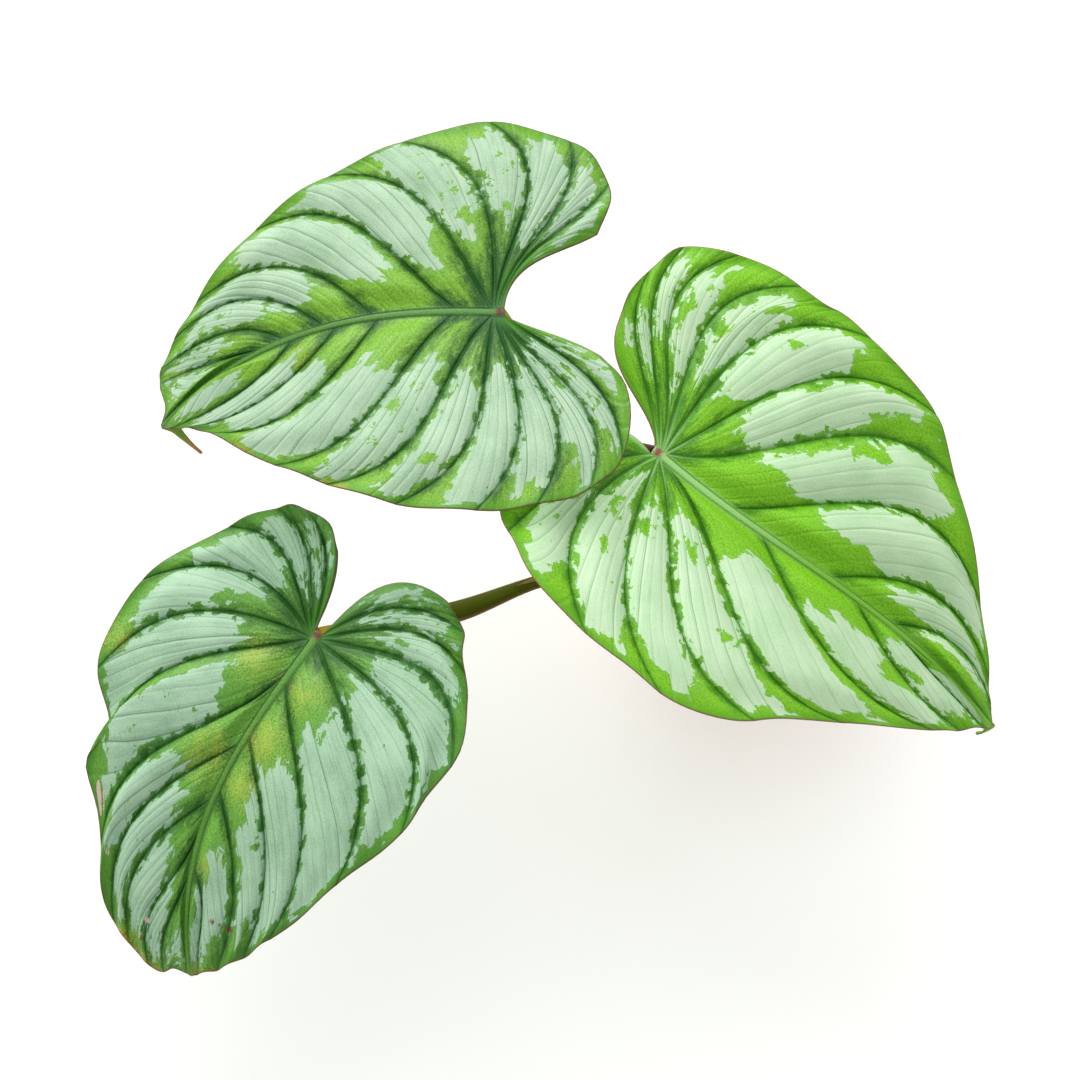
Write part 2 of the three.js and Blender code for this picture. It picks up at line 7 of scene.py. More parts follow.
# %% Load the measured part
import math
import bpy
import numpy as np
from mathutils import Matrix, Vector


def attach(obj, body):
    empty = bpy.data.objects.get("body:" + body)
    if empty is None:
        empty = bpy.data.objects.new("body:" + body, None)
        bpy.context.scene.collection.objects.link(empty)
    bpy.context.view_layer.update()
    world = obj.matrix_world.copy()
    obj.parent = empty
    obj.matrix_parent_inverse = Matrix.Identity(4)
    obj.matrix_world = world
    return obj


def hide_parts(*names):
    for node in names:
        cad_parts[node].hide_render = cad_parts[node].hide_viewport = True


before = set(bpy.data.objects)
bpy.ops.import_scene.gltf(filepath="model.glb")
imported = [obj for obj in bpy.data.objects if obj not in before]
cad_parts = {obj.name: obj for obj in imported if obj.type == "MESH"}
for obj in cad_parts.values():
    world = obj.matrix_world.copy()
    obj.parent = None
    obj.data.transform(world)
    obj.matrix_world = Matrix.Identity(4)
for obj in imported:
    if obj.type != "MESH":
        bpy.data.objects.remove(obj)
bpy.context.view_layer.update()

print("nodes:", sorted(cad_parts))

# %% [markdown]
# ## Camera
# The photograph looks steeply down on the leaves, from about 65 degrees above the floor, with a long lens.
# A camera has no parts to model, so it is placed by its target, its distance and its rise over the floor.

# %% Camera
CAMERA_TARGET = Vector((-0.128, -0.095, 0.290))
CAMERA_DISTANCE = 1.3
CAMERA_RISE = math.radians(65)


def place_in_scene(name, data):
    thing = bpy.data.objects.new(name, data)
    bpy.context.scene.collection.objects.link(thing)
    return thing


view = bpy.data.cameras.new("camera")
view.lens = 90
view.sensor_width = 36
camera = place_in_scene("camera", view)
back = Vector((0, -math.cos(CAMERA_RISE), math.sin(CAMERA_RISE)))
camera.location = CAMERA_TARGET + CAMERA_DISTANCE * back
camera.rotation_euler = (math.pi / 2 - CAMERA_RISE, 0, 0)
bpy.context.scene.camera = camera
print("camera at", tuple(round(x, 3) for x in camera.location))

# %% [markdown]
# ## Shared helpers
# Leaves, stalks and pot are all grids of points, so one helper turns points and faces into a piece.
# Points could also be moved by hand in edit mode, but numbers keep every vein on its measured line.
# Named values on each point, such as its distance to the nearest vein, guide the finishes.

# %% A piece from points and faces
MM = 0.001


def make_piece(name, points_mm, faces):
    mesh = bpy.data.meshes.new(name)
    mesh.from_pydata((np.asarray(points_mm) * MM).tolist(), [], faces)
    mesh.update()
    mesh.shade_smooth()
    return place_in_scene(name, mesh)


def store(piece, **layers):
    """Three numbers on every point, under a name that a finish can read."""
    for name, values in layers.items():
        layer = piece.data.attributes.new(name, "FLOAT_VECTOR", "POINT")
        layer.data.foreach_set("vector", np.asarray(values, np.float32).ravel())


def finish_piece(piece, look, node):
    piece.data.materials.append(look.material)
    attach(piece, "root")
    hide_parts(node)
    print(piece.name, len(piece.data.vertices), "points", len(piece.data.polygons), "faces")


# %% Curves and soft steps
def unit(vector):
    return vector / np.linalg.norm(vector)


def soft_step(x, low, high):
    t = np.clip((np.asarray(x, float) - low) / (high - low), 0, 1)
    return t * t * (3 - 2 * t)


def span_of(count, place):
    """The row before a place along some rows, and how far the place is beyond it."""
    place = np.asarray(place, float)
    start = np.clip(np.floor(place), 0, count - 2).astype(int)
    return start, (place - start)[..., None]


def along_curve(points, place):
    """A smooth curve through all points (Catmull-Rom). Place 0 is the first point and 1 the second."""
    points = np.asarray(points, float)
    start, t = span_of(len(points), place)
    padded = np.vstack([2 * points[0] - points[1], points, 2 * points[-1] - points[-2]])
    a, b, c, d = (padded[start + k] for k in range(4))
    bend = 2 * a - 5 * b + 4 * c - d
    turn = 3 * b - a - 3 * c + d
    return b + 0.5 * ((c - a) * t + bend * t * t + turn * t**3)


def between_rows(rows, place):
    rows = np.asarray(rows, float)
    start, t = span_of(len(rows), place)
    return rows[start] + t * (rows[start + 1] - rows[start])


# %% [markdown]
# ## Finishes
# A finish is a material built from nodes: noise for mottling, steps for crisp edges, bump for fine relief.
# A painted picture would be quicker, but nodes stay sharp at any distance and hold no pixels of a photo.

# %% A finish made of nodes
def tone(red, green, blue):
    """A colour given as seen on a screen, 0 to 255, as the linear values that nodes use."""
    seen = np.array([red, green, blue]) / 255
    linear = np.where(seen <= 0.04045, seen / 12.92, ((seen + 0.055) / 1.055) ** 2.4)
    return (*linear.tolist(), 1.0)


class Finish:
    """Short names for the nodes of one material."""

    def __init__(self, name, roughness, specular):
        self.material = bpy.data.materials.new(name)
        self.material.use_nodes = True
        self.tree = self.material.node_tree
        self.shader = self.tree.nodes["Principled BSDF"]
        self.shader.inputs["Roughness"].default_value = roughness
        self.shader.inputs["Specular IOR Level"].default_value = specular

    def node(self, kind, feeds, **settings):
        """A new node. A feed is a number for its socket, or another node's output to link to it."""
        node = self.tree.nodes.new(kind)
        for setting, value in settings.items():
            setattr(node, setting, value)
        for socket, value in feeds.items():
            self.feed(node.inputs[socket], value)
        return node

    def feed(self, socket, value):
        if isinstance(value, bpy.types.NodeSocket):
            self.tree.links.new(value, socket)
        else:
            socket.default_value = value

    def stored(self, name):
        return self.node("ShaderNodeAttribute", {}, attribute_name=name).outputs["Vector"]

    def own_place(self):
        return self.node("ShaderNodeTexCoord", {}).outputs["Object"]

    def split(self, vector):
        return self.node("ShaderNodeSeparateXYZ", {0: vector}).outputs

    def sum(self, operation, *values):
        return self.node("ShaderNodeMath", dict(enumerate(values)), operation=operation).outputs[0]

    def plus(self, value, *parts):
        """The value with more values added to it, each one times its weight."""
        for part, weight in parts:
            value = self.sum("MULTIPLY_ADD", part, weight, value)
        return value

    def stretch(self, vector, scale, shift=(0, 0, 0)):
        feeds = {0: vector, 1: scale, 2: shift}
        return self.node("ShaderNodeVectorMath", feeds, operation="MULTIPLY_ADD").outputs[0]

    def noise(self, vector, scale=1.0, detail=2.0, roughness=0.5):
        """Noise from about -1 to 1 over the given coordinates."""
        feeds = {"Vector": vector, "Scale": scale, "Detail": detail, "Roughness": roughness}
        fac = self.node("ShaderNodeTexNoise", feeds).outputs["Fac"]
        return self.sum("MULTIPLY_ADD", fac, 3.2, -1.6)

    def swirl(self, vector, scale):
        """A noise colour as a vector, to bend other coordinates with."""
        color = self.node("ShaderNodeTexNoise", {"Vector": vector, "Scale": scale}).outputs["Color"]
        return self.stretch(color, (1, 1, 1), (-0.5, -0.5, -0.5))

    def cells(self, vector):
        """A random value from -1 to 1 for each cell of a flat mosaic."""
        cell = self.node("ShaderNodeTexVoronoi", {"Vector": vector, "Scale": 1}, voronoi_dimensions="2D")
        return self.sum("MULTIPLY_ADD", self.split(cell.outputs["Color"])[0], 2.0, -1.0)

    def chance(self, number, shift=0.0):
        """A random value from 0 to 1 for each whole number."""
        whole = self.sum("ADD", self.sum("FLOOR", number), shift)
        return self.node("ShaderNodeTexWhiteNoise", {"W": whole}, noise_dimensions="1D").outputs["Value"]

    def step(self, value, low, high, to_low=0.0, to_high=1.0):
        """Runs softly from to_low to to_high while the value goes from low to high."""
        feeds = dict(enumerate((value, low, high, to_low, to_high)))
        return self.node("ShaderNodeMapRange", feeds, interpolation_type="SMOOTHSTEP").outputs[0]

    def mix(self, share, first, second):
        return self.node("ShaderNodeMix", {0: share, 6: first, 7: second}, data_type="RGBA").outputs[2]

    def paint(self, under, over, value, low, high, to_low=0.0, to_high=1.0):
        """One tone over another. A soft step of a value says how much of it covers."""
        return self.mix(self.step(value, low, high, to_low, to_high), under, over)

    def colour(self, value):
        self.feed(self.shader.inputs["Base Color"], value)

    def bump(self, height_mm, strength):
        feeds = {"Strength": strength, "Distance": MM, "Height": height_mm}
        self.feed(self.shader.inputs["Normal"], self.node("ShaderNodeBump", feeds).outputs[0])


# %% [markdown]
# ## Leaf blades
# A blade is a thin skin folded along its midrib. It arches to a drip tip and swells between its veins.
# It could be sculpted, or cut from a plane and pushed about with modifiers.
# A grid whose columns follow the veins is used instead, so the quilting, the fine veins and the silver
# all run the way the leaf grew. All sizes are millimetres, the same as in the part's source.

# %% Sizes that the three blades share
BLADE_THICKNESS = 1.1
EDGE_THICKNESS = 0.8
RIM_BULGE = 0.3
MIDRIB_WIDTH = 5.0
MIDRIB_TIP_WIDTH = 3.0
MIDRIB_KEEL = 2.0
MIDRIB_CROWN = 0.55
VEIN_KEEL = 0.7
GROOVE_DEPTH = 0.5
FOLD_ROUNDING = 6.0
FINE_VEINS = 5
FINE_VEIN_DRIFT = 3.2
COLUMNS_PER_PANEL = 16
ROWS = 96
MIDRIB_ROWS = 240
TAIL_ROWS = 14
# Widths of the groove over a vein, of the keel under it and of the midrib's keel, and where that one ends.
GROOVE_WIDTH = 0.9
VEIN_KEEL_WIDTH = 1.1
KEEL_WIDTH = 2.5
KEEL_END = -4
# The swelling of a panel as a share of its width, and the radians of the edge's wave in each panel.
QUILT_DEPTH = 0.11
WAVES_PER_PANEL = 5.2
# Stands in for the distance to a vein, in panels, on the side where a half has no vein.
FAR = 9
# The highest silver value, in millimetres, that a patch can have before noise frays it.
SOLID = 3.5
LOOSE = 2.3
BROKEN = 0.6
# Two of the twelve values that each point carries: the distance to the joint, and the side of the skin,
# which is 1 above, 0 on the rim and -1 below.
VALUES = 12
JOINT = 10
SIDE = 11
# On the drip tip, the distance to the joint starts at this mark instead, so the finish can tell it apart.
TAIL_MARK = 300

# %% [markdown]
# Each half of a blade has its own numbers, with x from the stalk to the tip and y away from the midrib.
# The hand is 1 for a left half and -1 for a right one.
# The margin is the edge from the back lobe to the tip. A vein has its root as a share of the midrib, its
# end as a place along the margin, and its bend near the root and near the end.
# Silver has one patch for each panel between two veins: how dense it is, then rows of percent. A row says
# how far out along the vein it lies, and from where to where across the panel it reaches. Islands are green
# places left in the silver: the panel, then how far out, how far across, length and width in percent.
# Pale, brown and yellow marks have a place and a radius. The flare makes the tail wider near its root, and
# the turn shows its flat face. The patches could be painted on by hand, but numbers are easier to correct.

# %% The left half of the first blade
LEFT_1 = {
    "hand": 1,
    "margin": [
        (-44, 32), (-53, 49), (-53, 70), (-44, 90), (-28, 100), (-7, 103), (21, 101), (58, 89), (95, 66),
        (129, 39), (154, 14), (177, 0.5)],
    "veins": [
        (-0.012, 0, -0.02, 0.05), (-0.006, 2.73, 0.08, 0.23), (-0.001, 3.88, 0.02, 0.32),
        (0.005, 5.04, 0.06, 0.33), (0.011, 6.04, 0.1, 0.31), (0.016, 7.04, 0.09, 0.37),
        (0.022, 7.9, 0, 0.37), (0.128, 8.6, 0.02, 0.33), (0.33, 9.85, 0.2, 0.36), (0.447, 10.35, 0.2, 0.25),
        (0.578, 10.75, 0.2, 0.15), (0.95, 11, 0, 0)],
    "silver": [
        (BROKEN, (30, 60, 80), (50, 45, 80), (70, 40, 80), (90, 40, 80)),
        (LOOSE, (20, 10, 80), (28, 20, 90), (38, 10, 90), (50, 5, 95), (70, 5, 85), (80, 10, 50),
         (93, 10, 40)),
        (SOLID, (27, 40, 90), (37, 15, 95), (50, 5, 95), (70, 5, 90), (85, 5, 50), (95, 5, 30)),
        (SOLID, (27, 50, 90), (38, 10, 95), (60, 5, 95), (80, 10, 90), (93, 10, 60)),
        (SOLID, (22, 30, 50), (37, 20, 90), (50, 5, 95), (80, 5, 80), (97, 10, 50)),
        (SOLID, (30, 40, 70), (40, 5, 80), (60, 5, 85), (80, 10, 70), (96, 20, 50)),
        (LOOSE, (22, 30, 50), (35, 30, 90), (42, 5, 95), (70, 5, 90), (95, 10, 50)),
        (SOLID, (25, 20, 70), (40, 5, 90), (60, 5, 80), (80, 5, 90), (95, 20, 70)),
        (SOLID, (20, 60, 95), (32, 20, 95), (50, 5, 100), (75, 5, 100), (88, 30, 80)),
        (SOLID, (17, 40, 70), (30, 10, 95), (55, 5, 100), (85, 10, 80), (93, 10, 50)),
        (SOLID, (20, 30, 60), (40, 15, 70), (65, 20, 70), (85, 40, 70)),
    ],
    "islands": [
        (1, 42, 55, 5, 18), (2, 44, 23, 4, 13), (1, 64, 50, 3, 10), (6, 50, 70, 5, 12), (5, 74, 40, 3, 12)],
}

# %% The right half of the first blade
RIGHT_1 = {
    "hand": -1,
    "margin": [
        (-51, 33), (-60, 49), (-58, 66), (-51, 79), (-33, 92), (-10, 102), (17, 103), (53, 98), (90, 90),
        (127, 74), (155, 52), (173, 32), (176, 22), (174, 10), (177, 2.5)],
    "veins": [
        (-0.012, 0, -0.3, -0.03), (-0.005, 1.5, -0.2, 0.06), (0.002, 3.4, -0.07, 0.24),
        (0.008, 5.1, 0.02, 0.4), (0.015, 6.55, 0.18, 0.35), (0.022, 7.6, 0.1, 0.28),
        (0.123, 8.7, 0.06, 0.31), (0.349, 9.85, 0.2, 0.29), (0.492, 10.5, 0.22, 0.28),
        (0.611, 11.2, 0.23, 0.14), (0.688, 11.95, 0, 0.04), (0.95, 14, 0, 0)],
    "silver": [
        (LOOSE, (45, 10, 30), (60, 10, 60), (75, 30, 90), (95, 40, 80)),
        (SOLID, (48, 10, 40), (60, 5, 80), (82, 10, 90), (93, 30, 60)),
        (SOLID, (38, 20, 80), (50, 10, 85), (56, 5, 95), (80, 5, 90), (93, 30, 60)),
        (LOOSE, (38, 40, 70), (50, 10, 90), (80, 8, 80), (95, 10, 40)),
        (LOOSE, (28, 30, 70), (40, 50, 90), (50, 8, 95), (78, 8, 90), (95, 10, 50)),
        (SOLID, (22, 50, 70), (35, 30, 95), (50, 5, 95), (80, 10, 90), (95, 30, 80)),
        (SOLID, (17, 40, 60), (26, 20, 90), (50, 10, 95), (80, 10, 90), (92, 20, 60)),
        (SOLID, (20, 50, 90), (28, 20, 95), (50, 10, 100), (78, 10, 100), (88, 40, 80)),
        (LOOSE, (22, 5, 60), (40, 5, 85), (60, 5, 70), (80, 10, 90), (90, 30, 80)),
        (LOOSE, (38, 40, 90), (50, 20, 95), (75, 20, 90), (85, 30, 80)),
        (LOOSE, (20, 30, 50), (50, 15, 50), (90, 10, 50)),
    ],
    "islands": [(3, 48, 50, 3.5, 16), (4, 44, 40, 3, 15), (9, 63, 40, 5, 10), (5, 63, 30, 3, 7)],
}

# %% The first blade
LEAF_1 = {
    "name": "leaf_1",
    "joint": (-147, -8, 358),
    "heading": 187,
    "pitch": 6,
    "roll": -1,
    "length": 178,
    "tip_drop": 63,
    "back_drop": 10,
    "fold": 0.15,
    "side_drop": 11,
    "wave": 1.2,
    "bow": (-0.076, -0.15, -0.006),
    "tail": [(173, -2.5, -68.5), (170, -1, -76.5), (167.5, 0, -85), (164.5, 1, -94)],
    "tail_width": 2.4,
    "tail_flare": 2.6,
    "tail_turn": 1,
    "halves": [LEFT_1, RIGHT_1],
    "pale": [],
    "brown": [],
    "yellow": [(164, -23, 5), (134, 34, 5), (87.5, 71, 4), (14, 46, 4), (99, -1, 5)],
}

# %% The left half of the second blade
LEFT_2 = {
    "hand": 1,
    "margin": [
        (-50, 40), (-54, 57), (-51, 75), (-45, 90), (-29, 98), (-7, 105), (25, 105), (39, 107), (65, 103),
        (96, 98), (114, 87), (143, 65), (168, 42), (187, 23), (202, 6), (210, -2.7)],
    "veins": [
        (-0.012, 0, -0.07, 0.22), (-0.007, 1.8, 0, 0.22), (-0.002, 3.05, 0, 0.27), (0.003, 4.45, 0, 0.45),
        (0.007, 5.6, 0.1, 0.44), (0.012, 7.65, 0.16, 0.39), (0.017, 9.3, 0.12, 0.32),
        (0.022, 10.5, -0.05, 0.27), (0.22, 12.2, 0.1, 0.4), (0.497, 13.55, 0.23, 0.3),
        (0.68, 14.2, 0.24, 0.24), (0.95, 15, 0, 0)],
    "silver": [
        (BROKEN, (60, 75, 90), (72, 55, 85), (80, 40, 60)),
        (LOOSE, (40, 50, 90), (50, 20, 95), (60, 10, 80), (75, 5, 40)),
        (LOOSE, (50, 60, 95), (60, 10, 95), (75, 10, 90), (90, 10, 40)),
        (LOOSE, (24, 10, 50), (33, 40, 90), (50, 15, 95), (70, 10, 85), (88, 10, 40)),
        (LOOSE, (30, 30, 60), (42, 20, 95), (50, 5, 95), (72, 10, 90), (88, 10, 40)),
        (SOLID, (26, 30, 60), (35, 10, 95), (50, 8, 100), (70, 8, 90), (80, 10, 50), (90, 10, 40)),
        (SOLID, (22, 40, 70), (33, 5, 95), (45, 10, 90), (60, 15, 90), (70, 15, 75), (80, 20, 60),
         (93, 28, 55)),
        (SOLID, (22, 30, 80), (30, 10, 95), (42, 20, 95), (55, 15, 95), (72, 8, 90), (90, 10, 60)),
        (SOLID, (20, 30, 70), (27, 10, 95), (50, 5, 90), (70, 5, 95), (97, 10, 80)),
        (SOLID, (13, 30, 60), (30, 20, 95), (45, 20, 100), (60, 10, 100), (80, 30, 100), (97, 40, 90)),
        (LOOSE, (10, 5, 15), (30, 5, 20), (65, 10, 40), (85, 10, 30)),
    ],
    "islands": [
        (3, 64, 30, 6, 14), (4, 57, 20, 5, 15), (5, 63, 30, 3, 8), (7, 64, 24, 6, 13), (6, 56, 12, 5, 10),
        (4, 76, 60, 5, 14)],
}

# %% The right half of the second blade
RIGHT_2 = {
    "hand": -1,
    "margin": [
        (-45, 18), (-54, 41), (-53, 60), (-45, 76), (-34, 83), (-17, 95), (8, 101), (38, 104), (67, 105),
        (96, 95), (118, 76), (151, 53), (190, 24), (203, 11), (210, 5.5)],
    "veins": [
        (-0.012, 0, 0.3, 0.15), (-0.005, 3.75, 0.17, 0.08), (0.002, 6.35, 0.26, 0.34),
        (0.008, 7.8, 0.12, 0.25), (0.015, 9.4, 0.03, 0.33), (0.022, 10.75, -0.06, 0.33),
        (0.311, 11.8, 0.15, 0.25), (0.579, 12.35, 0.11, 0.15), (0.713, 13.5, 0.05, 0.01), (0.95, 14, 0, 0)],
    "silver": [
        (SOLID, (35, 20, 70), (60, 15, 80), (85, 20, 50)),
        (LOOSE, (35, 75, 95), (50, 60, 95), (62, 30, 95), (75, 10, 90), (93, 20, 60)),
        (SOLID, (8, 30, 55), (20, 35, 60), (30, 10, 90), (55, 8, 95), (75, 10, 90), (90, 10, 60)),
        (SOLID, (17, 50, 80), (22, 20, 90), (35, 5, 90), (60, 5, 95), (72, 10, 90), (90, 30, 70)),
        (SOLID, (18, 10, 30), (27, 20, 90), (40, 10, 80), (60, 5, 95), (75, 10, 80), (95, 10, 60)),
        (SOLID, (15, 70, 85), (25, 40, 80), (35, 5, 90), (60, 5, 80), (75, 5, 80), (93, 20, 60)),
        (SOLID, (20, 20, 40), (28, 10, 90), (40, 10, 90), (50, 10, 55), (60, 10, 55), (66, 10, 90),
         (95, 20, 90)),
        (SOLID, (5, 70, 90), (15, 40, 95), (25, 10, 100), (70, 5, 100), (90, 30, 90)),
        (SOLID, (2, 75, 100), (20, 40, 100), (30, 5, 100), (75, 5, 100), (85, 20, 80)),
    ],
    "islands": [
        (3, 29, 32, 3.5, 22), (4, 34, 52, 4, 10), (2, 30, 45, 5, 14), (2, 50, 55, 3, 10), (4, 64, 70, 3, 12),
        (7, 50, 20, 5, 12)],
}

# %% The second blade
LEAF_2 = {
    "name": "leaf_2",
    "joint": (-72, -65, 324),
    "heading": -31.5,
    "pitch": 14,
    "roll": 0,
    "length": 209,
    "tip_drop": 37,
    "back_drop": 8,
    "fold": 0.22,
    "side_drop": 2,
    "wave": 1.2,
    "bow": (-0.046, 0.048, -0.02),
    "tail": [(210.5, -4.7, -39.7), (210.2, -6, -43), (209, -7.2, -45), (207.5, -8, -46.5)],
    "tail_width": 3.8,
    "tail_flare": 2.6,
    "tail_turn": 0.5,
    "halves": [LEFT_2, RIGHT_2],
    "pale": [],
    "brown": [],
    "yellow": [(154.7, 11.2, 1.6)],
}

# %% The left half of the third blade
LEFT_3 = {
    "hand": 1,
    "margin": [
        (-42, 51), (-32, 66), (-19, 73), (-3, 85), (19, 94), (45, 89), (64, 87), (91, 72), (124, 53),
        (153, 30), (168, 9.4)],
    "veins": [
        (-0.012, 0, 0.26, 0.45), (-0.005, 1, 0.23, 0.26), (0.002, 2.3, 0.14, 0.3), (0.008, 4.35, 0.18, 0.45),
        (0.015, 6.1, 0.17, 0.37), (0.022, 7.3, 0.1, 0.28), (0.171, 8.4, 0.07, 0.26),
        (0.353, 8.85, 0.1, 0.22), (0.523, 9.4, 0.13, 0.2), (0.744, 9.85, 0.2, 0), (0.95, 10, 0, 0)],
    "silver": [
        (BROKEN, (30, 30, 60), (50, 40, 70), (70, 35, 70), (85, 20, 50)),
        (LOOSE, (30, 30, 60), (45, 25, 60), (60, 30, 70), (75, 10, 85), (90, 20, 60)),
        (LOOSE, (30, 20, 80), (45, 15, 90), (60, 10, 90), (80, 10, 90), (93, 30, 60)),
        (SOLID, (26, 20, 60), (40, 10, 95), (80, 8, 90), (97, 10, 90)),
        (SOLID, (22, 20, 70), (33, 10, 90), (60, 5, 90), (80, 10, 90), (96, 10, 90)),
        (SOLID, (26, 10, 90), (40, 5, 90), (60, 5, 95), (80, 10, 95), (96, 5, 90)),
        (SOLID, (17, 70, 90), (30, 20, 95), (50, 5, 100), (80, 5, 100), (95, 5, 95)),
        (SOLID, (23, 20, 60), (30, 8, 75), (45, 10, 70), (60, 5, 75), (85, 5, 85)),
        (SOLID, (15, 50, 80), (30, 20, 100), (70, 20, 100), (85, 40, 90)),
        (LOOSE, (10, 5, 30), (45, 5, 80), (70, 5, 70), (85, 5, 40)),
    ],
    "islands": [(7, 44, 20, 4, 16), (5, 33, 48, 3, 8), (2, 45, 50, 3, 10), (8, 87, 35, 4, 12)],
}

# %% The right half of the third blade
RIGHT_3 = {
    "hand": -1,
    "margin": [
        (-42, 13), (-52, 23), (-54, 37), (-49, 51), (-34, 64), (-12, 80), (15, 93), (43, 97), (63, 92),
        (81, 77), (93, 75), (105, 78), (121, 65), (139, 55), (160, 43), (172, 18), (173, 6), (169, 1),
        (168, -6.5)],
    "veins": [
        (-0.012, 0, 0.06, 0.1), (-0.006, 2.1, 0.11, 0.24), (-0.001, 3.1, 0.06, 0.25),
        (0.005, 4.3, 0.1, 0.37), (0.011, 6, 0.28, 0.29), (0.016, 8, 0.21, 0.29), (0.022, 9.4, 0.06, 0.24),
        (0.161, 12.8, -0.04, 0.28), (0.387, 14.2, 0.14, 0.32), (0.556, 14.65, 0.15, 0.33),
        (0.653, 15.3, -0.05, 0.3), (0.775, 16.15, 0.03, 0.2), (0.95, 18, 0, 0)],
    "silver": [
        (BROKEN, (42, 60, 85), (55, 40, 80), (70, 50, 80), (85, 30, 50)),
        (LOOSE, (30, 30, 60), (37, 30, 85), (50, 30, 90), (65, 20, 80), (75, 10, 60), (90, 10, 50)),
        (SOLID, (28, 30, 60), (40, 15, 90), (60, 5, 95), (80, 10, 95), (95, 20, 70)),
        (SOLID, (28, 60, 80), (40, 25, 80), (50, 15, 95), (80, 5, 90), (90, 20, 60)),
        (SOLID, (27, 20, 60), (35, 5, 80), (60, 5, 90), (80, 10, 90), (88, 20, 60)),
        (SOLID, (26, 20, 60), (38, 5, 90), (60, 5, 95), (80, 10, 90), (97, 15, 70)),
        (LOOSE, (22, 40, 70), (33, 20, 90), (50, 30, 95), (65, 35, 90), (90, 60, 90)),
        (SOLID, (30, 60, 90), (45, 35, 95), (60, 15, 95), (75, 10, 90), (85, 20, 60)),
        (SOLID, (16, 50, 70), (30, 10, 90), (60, 5, 80), (90, 20, 70)),
        (SOLID, (23, 20, 50), (40, 10, 80), (50, 10, 95), (80, 10, 95), (88, 20, 60)),
        (SOLID, (36, 10, 50), (55, 5, 80), (80, 10, 90), (93, 30, 70)),
        (SOLID, (10, 70, 100), (40, 50, 95), (70, 35, 80), (93, 30, 60)),
    ],
    "islands": [(1, 55, 55, 5, 20), (4, 42, 70, 6, 20), (2, 36, 50, 4, 12), (9, 30, 60, 5, 15)],
}

# %% The third blade
LEAF_3 = {
    "name": "leaf_3",
    "joint": (-236, -133, 262),
    "heading": -119,
    "pitch": 8,
    "roll": 7,
    "length": 168,
    "tip_drop": 59,
    "back_drop": 8,
    "fold": 0.15,
    "side_drop": 10,
    "wave": 2,
    "bow": (-0.037, -0.148, 0.048),
    "tail": [(168, 7.5, -61), (166.5, 6.5, -63.5), (164.5, 5, -65.5)],
    "tail_width": 2.4,
    "tail_flare": 0.5,
    "tail_turn": 0,
    "halves": [LEFT_3, RIGHT_3],
    "pale": [(111, -67.5, 2.6), (117, -65, 2.4), (122, -62.5, 1.4), (136.5, -51.5, 1.6), (155.3, -21.2, 1.3)],
    "brown": [
        (164, -20.5, 1.4), (142, 12.5, 1.6), (141.5, 17, 1.2), (141, 22, 1.8), (-12.6, 66.4, 1.1),
        (166, -29.5, 1.2)],
    "yellow": [
        (45, -90, 6), (60, -79, 4), (168, -29, 6), (172, -14, 4), (23, -20, 9), (30, 11, 7), (57, 3, 10),
        (71, -21, 7), (78, -24, 7), (80, 1, 8), (121, 0, 4), (164, 10, 5)],
}
print("blades:", [leaf["name"] for leaf in (LEAF_1, LEAF_2, LEAF_3)])


# %% The flat shape of a blade
def midrib_side(leaf, x):
    """How far the midrib lies to the left of a straight line, because every blade bows a little."""
    t = np.clip(np.asarray(x, float) / leaf["length"], 0, 1)
    near, far, end = leaf["bow"]
    return leaf["length"] * (3 * t * (1 - t) ** 2 * near + 3 * t * t * (1 - t) * far + t**3 * end)


def flat_point(leaf, half, column, share):
    """The place of a share of the way along a vein, and how long that vein is."""
    root, place, near, far = np.moveaxis(between_rows(half["veins"], column), -1, 0)
    root_x = root * leaf["length"]
    half_rib = 0.5 * (MIDRIB_WIDTH + (MIDRIB_TIP_WIDTH - MIDRIB_WIDTH) * np.maximum(root, 0))
    root_y = half["hand"] * midrib_side(leaf, root_x) + half_rib
    end = along_curve(half["margin"], place)
    along_x = end[..., 0] - root_x
    along_y = end[..., 1] - root_y
    aside = 3 * share * (1 - share) ** 2 * near + 3 * share * share * (1 - share) * far
    x = root_x + share * along_x - aside * along_y
    y = half["hand"] * (root_y + share * along_y + aside * along_x)
    return x, y, np.hypot(along_x, along_y)


# %% The height of a blade over its own plane
def blade_height(leaf, x, y):
    drop = np.where(x > 0, leaf["tip_drop"], leaf["back_drop"])
    away = y - midrib_side(leaf, x)
    arch = -drop * (x / leaf["length"]) ** 2
    fold = leaf["fold"] * (np.hypot(away, FOLD_ROUNDING) - FOLD_ROUNDING)
    return arch + fold - leaf["side_drop"] * (away / 100) ** 2


def bell(x, width):
    """1 at zero, and falling off softly on both sides."""
    return np.exp(-((x / width) ** 2))


def quilt_height(leaf, half, column, share, width):
    """The swelling of a panel between two sunken veins, and the wave of the margin."""
    bulge = np.abs(np.sin(np.pi * column)) ** 0.8
    fade = soft_step(share, 0, 0.15) * (1 - 0.75 * soft_step(share, 0.7, 1))
    to_tip = np.minimum((len(half["veins"]) - 1 - column) / 2, 1)
    wave = leaf["wave"] * share**4 * to_tip * np.sin(WAVES_PER_PANEL * column + leaf["heading"])
    return QUILT_DEPTH * width * bulge * fade + wave


# %% From a blade's own frame to the room and back
def blade_turn(leaf):
    heading, pitch, roll = (math.radians(leaf[k]) for k in ("heading", "pitch", "roll"))
    turn = np.eye(3)
    turn[:2, :2] = [[math.cos(heading), -math.sin(heading)], [math.sin(heading), math.cos(heading)]]
    tip = np.eye(3)
    tip[::2, ::2] = [[math.cos(pitch), math.sin(pitch)], [-math.sin(pitch), math.cos(pitch)]]
    lean = np.eye(3)
    lean[1:, 1:] = [[math.cos(roll), -math.sin(roll)], [math.sin(roll), math.cos(roll)]]
    return turn @ tip @ lean


